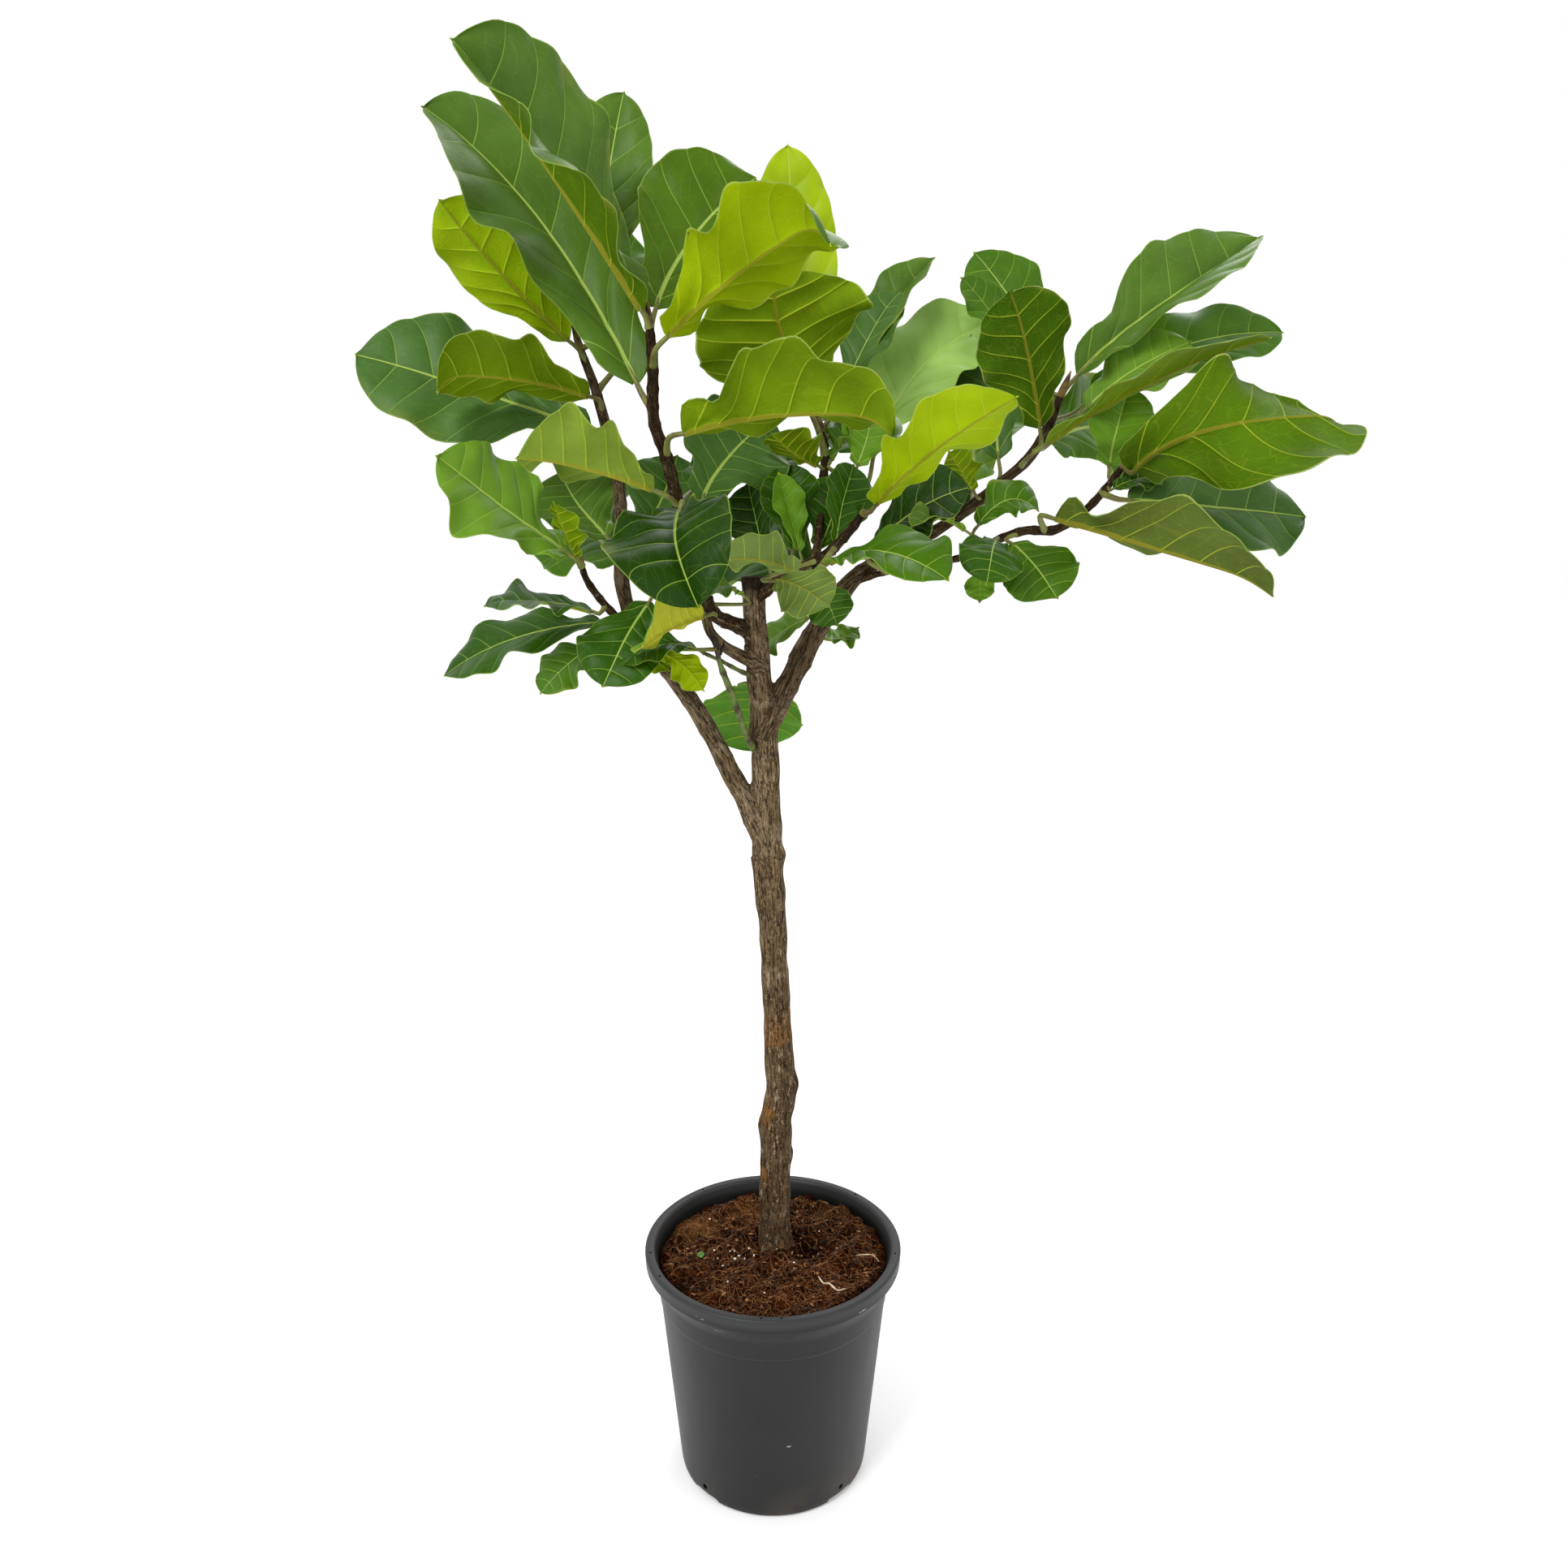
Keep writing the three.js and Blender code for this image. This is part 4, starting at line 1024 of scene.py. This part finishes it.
def tint_blade(piece, leaf, places, reach):
    """The tones of both faces, clouded, and yellowed at a tired leaf's margin."""
    cloud = np.array([noise.noise(point) for point in places * CLOUD_SCALE + leaf["seed"]])
    tired = smoothstep(reach, 0.80, 1.0) * smoothstep(cloud, 0.0, 0.5) * leaf["tired"]
    for layer, tone in (("upper_tone", leaf["upper"]), ("under_tone", leaf["under"])):
        base = np.array(tone[:3]) * (1 + CLOUDING * cloud[:, None])
        colour = base + (np.array(YELLOWED[:3]) - base) * tired[:, None] * 0.5
        give(piece, layer, "FLOAT_COLOR", np.hstack([colour, np.ones((len(places), 1))]))


def thicken_blade(piece, thickness):
    """The flat blade as a closed body, with its own finish on each face."""
    body = piece.vertex_groups.new(name="body")
    for i, value in enumerate(thickness / THICKEST):
        body.add([i], float(value), "REPLACE")
    for finish in LEAF_FINISHES:
        piece.data.materials.append(finish)
    apply_modifier(
        piece, "SOLIDIFY", thickness=THICKEST, offset=-1, vertex_group="body",
        thickness_vertex_group=0, material_offset=1, material_offset_rim=0,
    )
    smooth(piece, SHARPEST)


def add_blade(name, leaf, rib):
    """A flat grid laid on the leaf's surface, quilted between its veins, and given its thickness."""
    piece, column, row = blade_grid(name)
    side = np.sign(column)
    rank = np.abs(column)
    tau = ROWS[row]
    share = rank / HALF_COLUMNS
    from_foot = smoothstep(tau, 0, FOOT_EASE)
    sweep = SWEEP * (1 + 0.15 * side) * (1 - tau ** 2) * from_foot
    t = tau + sweep * (0.6 * share + 0.4 * share ** 2)
    vein = np.interp(tau, VEINS, np.arange(len(VEINS)))
    phase = vein - np.floor(vein)
    rng = np.random.default_rng(leaf["seed"])
    swing = rng.uniform(0, 2 * np.pi, 6)
    width = leaf["width"] * MM
    scallop = 1 + 0.010 * np.cos(2 * np.pi * (vein - 0.5)) * smoothstep(tau, 0.1, 0.3)
    calm = CALMEST + (1 - CALMEST) * smoothstep(leaf["width"], *CALM_WIDTHS)
    scallop += SCALLOP * calm * np.sin(2 * np.pi * SCALLOP_WAVES * t + swing[0] + 1.5 * side)
    half = np.maximum(outline_share(t) * width * 0.5 * scallop, LEAST_HALF)
    middle = np.minimum(rank, 2)
    spine_radius = (SPINE_RADII[0] + SPINE_RADII[1] * (1 - t) ** 0.8) * MM * leaf["size"]
    inner = SPINE_ACROSS[middle] * spine_radius
    inner = np.minimum(inner, half * share ** 0.8)
    outer_share = np.clip((rank - 2) / (HALF_COLUMNS - 2), 0, 1) ** 1.12
    across = np.where(rank <= 2, inner, inner + (half - inner) * outer_share)
    reach = across / half
    fold = math.radians(leaf["fold"])
    lean = fold + CURL * reach
    spread = half * (np.sin(lean) - np.sin(fold)) / CURL
    lift = half * (np.cos(fold) - np.cos(lean)) / CURL
    wave = np.sin(6 * np.pi * t + side) * np.sin(np.pi * t)
    lift += RIPPLE * reach ** 2 * wave
    long_wave, short_wave = RUFFLE_WAVES
    ruffle = np.sin(2 * np.pi * long_wave * t + swing[1 + side])
    ruffle = ruffle + 0.5 * np.sin(2 * np.pi * short_wave * t + swing[3])
    lift += calm * leaf["ruffle"] * width * reach ** 2.5 * ruffle * np.sin(np.pi * t) ** 0.5
    pillow = np.sin(np.pi * phase) ** 0.75 * (1 - np.exp(-reach / 0.1)) * (1 - 0.5 * reach ** 2)
    lift += leaf["quilt"] * width * pillow * from_foot * smoothstep(tau, 1, TIP_EASE)
    lift += SWAY * width * np.sin(2 * np.pi * (0.9 * t + 0.8 * side * reach) + swing[4]) * reach
    place = along_midrib(rib, "place", t)
    heading = unit(along_midrib(rib, "heading", t))
    face = unit(along_midrib(rib, "face", t))
    aside = np.cross(heading, face)
    spine_lift = SPINE_RAISED[middle] * spine_radius
    tip = TIP_LENGTH * smoothstep(t, 0.965, 1) * np.maximum(0, 1 - 1.6 * reach)
    shift = np.sin(2 * np.pi * 0.8 * t + swing[5]) * WANDER * width * np.sin(np.pi * t)
    on_surface = place + aside * (spread * side + shift)[:, None]
    on_surface += face * (lift + spine_lift)[:, None] + heading * tip[:, None]
    set_places(piece, on_surface)
    on_vein = np.minimum(phase, 1 - phase)
    spacing = np.interp(vein, np.arange(len(VEINS) - 1), np.diff(VEINS)) * rib["length"]
    vein_width = VEIN_WIDTH * (1 - 0.5 * reach) * leaf["size"]
    edge_rows = (np.floor(vein) == 0) & (phase < 0.5) | (vein > len(VEINS) - 1.5)
    off_vein = np.where(edge_rows, OFF_VEIN, on_vein * spacing / vein_width)
    ridge = np.where(on_vein < 0.01, 0.9, np.where(on_vein < 0.06, 0.2, 0)) * MM
    ridge = np.where(edge_rows, 0, ridge) * (1 - 0.75 * reach) * leaf["size"]
    belly = SPINE_DEPTH[middle] * spine_radius
    thickness = SKIN + np.maximum(belly, ridge)
    thickness = np.minimum(thickness, SKIN + half * 0.9)
    net = np.stack([vein * 1.5 + 20 * (side > 0), across / MM / 9, np.full_like(t, leaf["seed"])], 1)
    give(piece, "net", "FLOAT_VECTOR", net)
    give(piece, "lateral", "FLOAT", off_vein)
    give(piece, "spine", "FLOAT", across / spine_radius * max(1, (SLIM_BELOW / leaf["width"]) ** 1.2))
    give(piece, "reach", "FLOAT", reach)
    tint_blade(piece, leaf, on_surface, reach)
    thicken_blade(piece, thickness)
    return piece


def add_leaf(leaf):
    rib = lay_midrib(leaf)
    piece = add_blade("foliage_" + leaf["name"], leaf, rib)
    route = ROUTES[leaf["stem"]]
    start = rib["place"][0]
    if leaf["node"] is None:
        nearest = np.argmin(np.linalg.norm(route[:, :3] - start, axis=1))
        root = route[nearest, :3]
    else:
        root = point_along(route, leaf["node"])
    heading = rib["heading"][0]
    reach = np.linalg.norm(start - root)
    bend = start - heading * STALK_BEND * reach
    inside = start + heading * rib["length"] * STALK_INSIDE - rib["face"][0] * STALK_UNDER
    corners = []
    for corner, radius in zip((root, bend, start, inside), STALK_RADII):
        corners.append([*(corner / MM), radius * leaf["size"]])
    stalk_route = smooth_route(corners, 5)
    shares = np.linspace(0, 1, len(stalk_route))
    stalk_route[:, 3] *= 1 + hump(shares, *STALK_FOOT)
    stalk = strands("stalk", [(stalk_route, 0)], 3, [LEAF_FINISHES[2]])
    smooth(stalk)
    alone(piece, stalk)
    bpy.ops.object.join()
    belongs(piece, ["leaf_" + leaf["name"]] if leaf["solid"] else [])


def leaf_of(row, number, solid):
    keys = ["name", "stem", "start", "middle", "end", "width", "turn", "twist", "fold", "hook", "node"]
    leaf = dict(zip(keys, row))
    leaf["upper"] = TONES[row[11]]
    leaf["under"] = TONES[row[12]]
    leaf["size"] = math.sqrt(leaf["width"] / USUAL_WIDTH)
    leaf["seed"] = number
    leaf["solid"] = solid
    leaf["quilt"] = dice.uniform(0.012, 0.020)
    leaf["ruffle"] = dice.uniform(0.045, 0.080)
    leaf["tired"] = dice.choice((0, 0, 0.5, 1))
    return leaf


# ---- Pot -----------------------------------------------------------------------------------------
POT_HEIGHT = 260 * MM
RIM_RADIUS = 135 * MM
LIP_DEPTH = 18 * MM
LIP_WIDTH = 11 * MM
WALL = 3 * MM
BASE_RADIUS = 100 * MM
FOOT_RECESS = 7 * MM
CENTRE_FOOT = 32 * MM
NOTCH_WIDTH = 34 * MM
NOTCH_COUNT = 4
DRAIN_RADIUS = 3 * MM
DRAIN_LIFT = 0.5 * MM
RING_LINE = 205 * MM           # faint step around the wall
POT_SIDES = 144
FILLET_STEPS = 4
INNER_RIM = RIM_RADIUS - LIP_WIDTH
SKIRT_FOOT = POT_HEIGHT - LIP_DEPTH
PIN_RADIUS = 129.5 * MM
PIN_HOLE = 1.4 * MM
PIN_DEPTH = 12 * MM
RING_WIDTH = 12 * MM           # of the foot ring
HEEL_HEIGHT = 8 * MM
NOTCH_FLARE = 2 * MM
SKIRT_STEP = 14 * MM           # below the lip, where the wall begins to widen
INNER_CURVE = 6 * MM
DRAIN_CUT = 30 * MM
SHARP_EDGE = 35                # degrees between faces of the pot that show as an edge
PIN_MARKS = (-171, -9.6, -94.7, -85.8, -152, 45, 128)   # degrees around the rim


def wall_radius(z):
    return BASE_RADIUS + (INNER_RIM - MM - BASE_RADIUS) * z / SKIRT_FOOT


def rounded(corners):
    """An outline of (radius, height, fillet) corners, with each corner turned on an arc."""
    outline = []
    for i, (r, z, fillet) in enumerate(corners):
        here = np.array((r, z))
        if not fillet or i in (0, len(corners) - 1):
            outline.append(here)
            continue
        back = np.array(corners[i - 1][:2]) - here
        ahead = np.array(corners[i + 1][:2]) - here
        reach = min(fillet, 0.48 * np.linalg.norm(back), 0.48 * np.linalg.norm(ahead))
        start = here + unit(back) * reach
        end = here + unit(ahead) * reach
        for k in range(FILLET_STEPS + 1):
            t = k / FILLET_STEPS
            outline.append((1 - t) ** 2 * start + 2 * t * (1 - t) * here + t * t * end)
    return outline


def drill(heading, away, height, sides, radius, depth, rotation=(0, 0, 0)):
    """A cylinder that cuts a hole, away from the pot's axis in the given heading."""
    alone()
    place = (away * math.cos(heading), away * math.sin(heading), height)
    bpy.ops.mesh.primitive_cylinder_add(
        vertices=sides, radius=radius, depth=depth, location=place, rotation=rotation
    )
    return bpy.context.object


def add_pot():
    ring_inner = BASE_RADIUS - RING_WIDTH
    floor_top = FOOT_RECESS + WALL
    corners = [
        (0, 0, 0),
        (CENTRE_FOOT, 0, 1 * MM),
        (CENTRE_FOOT + 2 * MM, FOOT_RECESS, 1 * MM),
        (ring_inner, FOOT_RECESS, 1 * MM),
        (ring_inner + 2 * MM, 0, 1 * MM),
        (BASE_RADIUS - 1 * MM, 0, 4 * MM),
        (wall_radius(HEEL_HEIGHT), HEEL_HEIGHT, 5 * MM),
        (wall_radius(RING_LINE) - 0.3 * MM, RING_LINE - 1.5 * MM, 0.8 * MM),
        (wall_radius(RING_LINE) + 0.6 * MM, RING_LINE, 0.8 * MM),
        (wall_radius(SKIRT_FOOT - SKIRT_STEP) + 0.6 * MM, SKIRT_FOOT - SKIRT_STEP, 5 * MM),
        (RIM_RADIUS - 4.5 * MM, SKIRT_FOOT - 1 * MM, 3 * MM),
        (RIM_RADIUS - 0.8 * MM, SKIRT_FOOT + 1.5 * MM, 2 * MM),
        (RIM_RADIUS, POT_HEIGHT - 2 * MM, 2 * MM),
        (RIM_RADIUS - 2.5 * MM, POT_HEIGHT, 2 * MM),
        (INNER_RIM + 2 * MM, POT_HEIGHT - 0.4 * MM, 1.5 * MM),
        (INNER_RIM, POT_HEIGHT - 3 * MM, 2 * MM),
        (wall_radius(SKIRT_FOOT) - WALL, SKIRT_FOOT - WALL, 2 * MM),
        (wall_radius(floor_top + INNER_CURVE) - WALL, floor_top + INNER_CURVE, 3 * MM),
        (wall_radius(floor_top) - WALL - INNER_CURVE, floor_top, 3 * MM),
        (0, floor_top, 0),
    ]
    outline = rounded(corners)
    mesh = bpy.data.meshes.new("grower_pot")
    points = [(r, 0, z) for r, z in outline]
    mesh.from_pydata(points, [(i, i + 1) for i in range(len(points) - 1)], [])
    pot = bpy.data.objects.new("grower_pot", mesh)
    bpy.context.scene.collection.objects.link(pot)
    alone(pot)
    bpy.ops.object.mode_set(mode="EDIT")
    bpy.ops.mesh.select_all(action="SELECT")
    bpy.ops.mesh.spin(steps=POT_SIDES, angle=2 * math.pi, center=(0, 0, 0), axis=(0, 0, 1))
    bpy.ops.mesh.select_all(action="SELECT")
    bpy.ops.mesh.remove_doubles(threshold=1e-6)
    bpy.ops.mesh.normals_make_consistent(inside=False)
    bpy.ops.object.mode_set(mode="OBJECT")
    places = places_of(pot)
    radius = np.hypot(places[:, 0], places[:, 1])
    angle = np.arctan2(places[:, 1], places[:, 0])
    turn = 2 * math.pi / NOTCH_COUNT
    off = np.abs((angle % turn) - turn / 2) * BASE_RADIUS
    arch = smoothstep(off, NOTCH_WIDTH * 0.5 + NOTCH_FLARE, NOTCH_WIDTH * 0.5 - NOTCH_FLARE)
    in_ring = (radius > ring_inner + 0.2 * MM) & (places[:, 2] < FOOT_RECESS - 0.8 * MM)
    lowest = (FOOT_RECESS - 1 * MM) * arch
    places[:, 2] = np.where(in_ring, np.maximum(places[:, 2], lowest), places[:, 2])
    set_places(pot, places)
    cutters = []
    for i in range(NOTCH_COUNT):
        heading = (i + 0.5) * turn
        height = floor_top + DRAIN_RADIUS + DRAIN_LIFT
        sideways = (math.pi / 2, 0, heading + math.pi / 2)
        cutters.append(drill(heading, BASE_RADIUS, height, 20, DRAIN_RADIUS, DRAIN_CUT, sideways))
    for degrees in PIN_MARKS:
        heading = math.radians(degrees)
        cutters.append(drill(heading, PIN_RADIUS, POT_HEIGHT, 12, PIN_HOLE, PIN_DEPTH))
    alone(*cutters)
    bpy.ops.object.join()
    cutter = cutters[0]
    apply_modifier(pot, "BOOLEAN", object=cutter, operation="DIFFERENCE", solver="EXACT")
    bpy.data.objects.remove(cutter)
    smooth(pot, SHARP_EDGE)
    pot.data.materials.clear()
    pot.data.materials.append(pot_finish())
    belongs(pot, ["pot"])


# ---- Soil ----------------------------------------------------------------------------------------
SOIL_ROUGHNESS = 3.5
SOIL_CELLS = 150
SOIL_GAP = 0.4 * MM
SOIL_RIM = 236 * MM            # height at which the soil meets the wall
SOIL_TAPER = 0.84
SOIL_FOOT_CLEAR = 7 * MM
DARK_HOLLOW = (38, 16, 24, 10)  # x, y, spread and depth in millimetres
# In millimetres: where the soil's edge starts to fall, over what width, and how far; and its rise.
SOIL_SHOULDER = 104
SHOULDER_WIDTH = 16
SHOULDER_FALL = 5
SOIL_RISE = 2.5
SPOT_REACH = 112               # millimetres from the pot's axis: loose things lie inside this
CLEAR_OF_TRUNK = 24
FIBRE_COUNT = 2000
FIBRE_STEPS = 5
FIBRE_LIMIT = 117
# By kind of fibre: share, range of lengths and range of radii, in millimetres.
FIBRE_SHARES = (0.46, 0.47, 0.07)
FIBRE_LENGTHS = ((6, 20), (6, 20), (9, 26))
FIBRE_RADII = ((0.10, 0.24), (0.10, 0.24), (0.14, 0.3))
NEAR_BLACK_BARE = 0.8                # share of the fibres that a near-black spot goes without
# Pale roots: height above the soil, then [x, y, radius] along each, in millimetres.
PALE_ROOTS = (
    (1.4, [[47, -44, 0.5], [52, -52, 1.0], [58, -60, 1.1], [66, -66, 0.8], [74, -68, 0.4]]),
    (1.6, [[88, -8, 0.5], [96, -4, 0.7], [106, -5, 0.5], [112, -9, 0.3]]),
)
SEEDLING = (-76, -9)           # millimetres, where a small seedling stands
CHIP_COUNT = 120
CRUMB_COUNT = 700
# Perlite grains: x and y in millimetres.
PERLITE = ((-46, 2), (-41, 5), (4, 5), (-58, -12), (-46, -50), (-36, -1), (-30, -6), (-52, -22),
           (-26, 12), (-40, -14), (-20, -4), (-62, -4), (22, -20), (-8, -70), (50, 40), (-70, 60))


def soil_height(x, y):
    """Height of the soil's top, in millimetres, at a place in millimetres."""
    broad = math.sin(x * 0.09 + 1) * math.cos(y * 0.08)
    slow = math.sin(x * 0.19 - y * 0.16)
    height = SOIL_TOP + SOIL_ROUGHNESS * (broad + 0.6 * slow)
    height += 3.2 * noise.noise((x * 0.07, y * 0.07, 1)) + 1.5 * noise.noise((x * 0.22, y * 0.22, 5))
    height += 1.1 * abs(noise.noise((x * 0.6, y * 0.6, 9))) + 0.6 * noise.noise((x * 1.5, y * 1.5, 3))
    hx, hy, spread, depth = DARK_HOLLOW
    height -= depth * math.exp(-((x - hx) ** 2 + (y - hy) ** 2) / spread ** 2)
    off = math.hypot(x, y)
    return height + SOIL_RISE - SHOULDER_FALL * max(0, (off - SOIL_SHOULDER) / SHOULDER_WIDTH) ** 2


def add_soil():
    top_radius = wall_radius(SOIL_RIM) - WALL - SOIL_GAP
    alone()
    bpy.ops.mesh.primitive_grid_add(x_subdivisions=SOIL_CELLS, y_subdivisions=SOIL_CELLS, size=2)
    soil = bpy.context.object
    soil.name = "coir_soil"
    flat = places_of(soil)[:, :2]
    round_x = flat[:, 0] * np.sqrt(1 - flat[:, 1] ** 2 / 2) * top_radius
    round_y = flat[:, 1] * np.sqrt(1 - flat[:, 0] ** 2 / 2) * top_radius
    heights = [soil_height(x / MM, y / MM) * MM for x, y in zip(round_x, round_y)]
    set_places(soil, np.stack([round_x, round_y, heights], axis=1))
    alone(soil)
    bpy.ops.object.mode_set(mode="EDIT")
    bpy.ops.mesh.select_mode(type="EDGE")
    bpy.ops.mesh.select_all(action="DESELECT")
    bpy.ops.mesh.select_non_manifold()
    bpy.ops.mesh.extrude_region_move(TRANSFORM_OT_translate={"value": (0, 0, -200 * MM)})
    bpy.ops.transform.resize(value=(SOIL_TAPER, SOIL_TAPER, 1), center_override=(0, 0, 0))
    bpy.ops.object.vertex_group_add()
    bpy.ops.object.vertex_group_assign()
    bpy.ops.mesh.edge_face_add()
    bpy.ops.object.mode_set(mode="OBJECT")
    places = places_of(soil)
    foot = np.array([bool(vertex.groups) for vertex in soil.data.vertices])
    low = FOOT_RECESS + WALL + SOIL_GAP
    places[foot, 2] = low
    places[foot, :2] *= (wall_radius(low) - WALL - SOIL_FOOT_CLEAR) / (top_radius * SOIL_TAPER)
    set_places(soil, places)
    smooth(soil, 50)
    soil.data.materials.append(soil_finish())
    belongs(soil, ["soil"])


def soil_spot():
    """A random place on the soil, clear of the trunk, in millimetres."""
    while True:
        x = dice.uniform(-SPOT_REACH, SPOT_REACH)
        y = dice.uniform(-SPOT_REACH, SPOT_REACH)
        from_trunk = math.hypot(x - TRUNK_FOOT[0], y - TRUNK_FOOT[1])
        if math.hypot(x, y) < SPOT_REACH and from_trunk > CLEAR_OF_TRUNK:
            return x, y


def add_fibres():
    """Loose coir fibres and a few pale rootlets that lie on the soil."""
    tan = plain_finish("tan_fibre", rgb(102, 60, 32), rgb(160, 114, 70), 200, 0.7, 0.0002)
    brown = plain_finish("brown_fibre", rgb(54, 26, 13), rgb(98, 52, 28), 200, 0.7, 0.0002)
    pale = plain_finish("rootlet", rgb(188, 168, 130), rgb(222, 206, 176), 200, 0.6, 0.0002)
    paths = []
    for i in range(FIBRE_COUNT):
        x, y = soil_spot()
        kind = dice.choices((0, 1, 2), FIBRE_SHARES)[0]
        on_near_black = any(math.hypot(x - dx, y - dy) < reach for dx, dy, reach in NEAR_BLACK_SPOTS)
        if on_near_black and dice.random() < NEAR_BLACK_BARE:
            continue
        heading = dice.uniform(0, 2 * math.pi)
        bend = dice.uniform(-0.42, 0.42)
        length = dice.uniform(*FIBRE_LENGTHS[kind])
        radius = dice.uniform(*FIBRE_RADII[kind])
        hump = dice.uniform(0.2, 2.4)
        path = []
        for k in range(FIBRE_STEPS + 1):
            t = k / FIBRE_STEPS
            z = soil_height(x, y) + radius + hump * math.sin(math.pi * t) - 0.5 * (1 - t)
            path.append((x * MM, y * MM, z * MM, radius * MM * (1 - 0.45 * t)))
            x += length / FIBRE_STEPS * math.cos(heading)
            y += length / FIBRE_STEPS * math.sin(heading)
            heading += bend
            if math.hypot(x, y) > FIBRE_LIMIT:
                break
        if len(path) > 2:
            paths.append((path, kind))
    strand_piece("soil_fibres", paths, 0, [tan, brown, pale])
    roots = []
    for lift, points in PALE_ROOTS:
        route = [[x, y, soil_height(x, y) + lift, radius] for x, y, radius in points]
        roots.append((smooth_route(route, 2), 0))
    strand_piece("pale_roots", roots, 2, [pale])


def scatter(name, shapes, finish, rough=0.25):
    """Many small lumps as one mesh: each is the same ball, stretched, turned and dented."""
    alone()
    bpy.ops.mesh.primitive_ico_sphere_add(subdivisions=1, radius=1)
    ball = bpy.context.object
    base = places_of(ball)
    faces = [tuple(face.vertices) for face in ball.data.polygons]
    bpy.data.objects.remove(ball)
    rng = np.random.default_rng(len(shapes))
    points, corners = [], []
    for x, y, z, long, wide, tall in shapes:
        spin = rng.uniform(0, 2 * np.pi)
        dented = base * (1 + rng.uniform(-rough, rough, (len(base), 1))) * (long, wide, tall)
        turn = np.array(((np.cos(spin), -np.sin(spin), 0), (np.sin(spin), np.cos(spin), 0), (0, 0, 1)))
        first = len(points) * len(base)
        points.append((dented @ turn.T + (x, y, z)) * MM)
        corners += [tuple(first + corner for corner in face) for face in faces]
    mesh = bpy.data.meshes.new(name)
    mesh.from_pydata(np.vstack(points).tolist(), [], corners)
    piece = bpy.data.objects.new(name, mesh)
    bpy.context.scene.collection.objects.link(piece)
    mesh.materials.append(finish)
    belongs(piece)


def add_seedling():
    """Two round green leaves on a thread of a stem, just above the soil."""
    green = plain_finish("seedling_leaf", rgb(52, 92, 26), rgb(84, 124, 44), 260, 0.5, 0.0002)
    x, y = SEEDLING
    foot = soil_height(x, y)
    stem = [[x + 5, y + 3, foot - 1, 0.5], [x + 4, y + 2, foot + 3, 0.45], [x + 1, y, foot + 5, 0.4]]
    strand_piece("seedling_stem", [(smooth_route(stem, 1), 0)], 1, [green])
    blades = [(x, y, foot + 5, 6.5, 4.4, 0.7), (x + 7, y + 4, foot + 3, 3, 2.2, 0.5)]
    scatter("seedling_leaf", blades, green, 0.1)


def add_crumbs():
    perlite = plain_finish("perlite", rgb(206, 204, 196), rgb(240, 238, 232), 700, 0.8, 0.0004)
    chip = plain_finish("husk_chip", rgb(84, 52, 32), rgb(150, 108, 68), 260, 0.8, 0.0006)
    peat = plain_finish("peat_crumb", rgb(26, 16, 11), rgb(64, 38, 24), 300, 0.9, 0.0006)
    white = [(x, y, soil_height(x, y) + 0.6, *(dice.uniform(0.8, 1.5) for _ in range(3)))
             for x, y in PERLITE]
    scatter("perlite_grains", white, perlite)
    chips = []
    for _ in range(CHIP_COUNT):
        x, y = soil_spot()
        chips.append((x, y, soil_height(x, y) + 0.3, dice.uniform(1.5, 4), dice.uniform(0.8, 2), 0.7))
    scatter("husk_chips", chips, chip)
    crumbs = []
    for _ in range(CRUMB_COUNT):
        x, y = soil_spot()
        size = dice.uniform(0.8, 2.6)
        crumbs.append((x, y, soil_height(x, y) + 0.2 * size, size, size * dice.uniform(0.6, 1), size * 0.7))
    scatter("peat_crumbs", crumbs, peat, 0.35)


# ---- Assembly ------------------------------------------------------------------------------------
add_camera()
add_room()
LEAF_FINISHES = [upper_finish(), under_finish(), stalk_finish()]
add_pot()
add_soil()
add_fibres()
add_crumbs()
add_seedling()
add_wood()
add_buds()
for number, row in enumerate(LEAVES):
    add_leaf(leaf_of(row, number + 1, True))
for number, row in enumerate(SMALL_LEAVES):
    add_leaf(leaf_of(row, len(LEAVES) + number + 1, False))
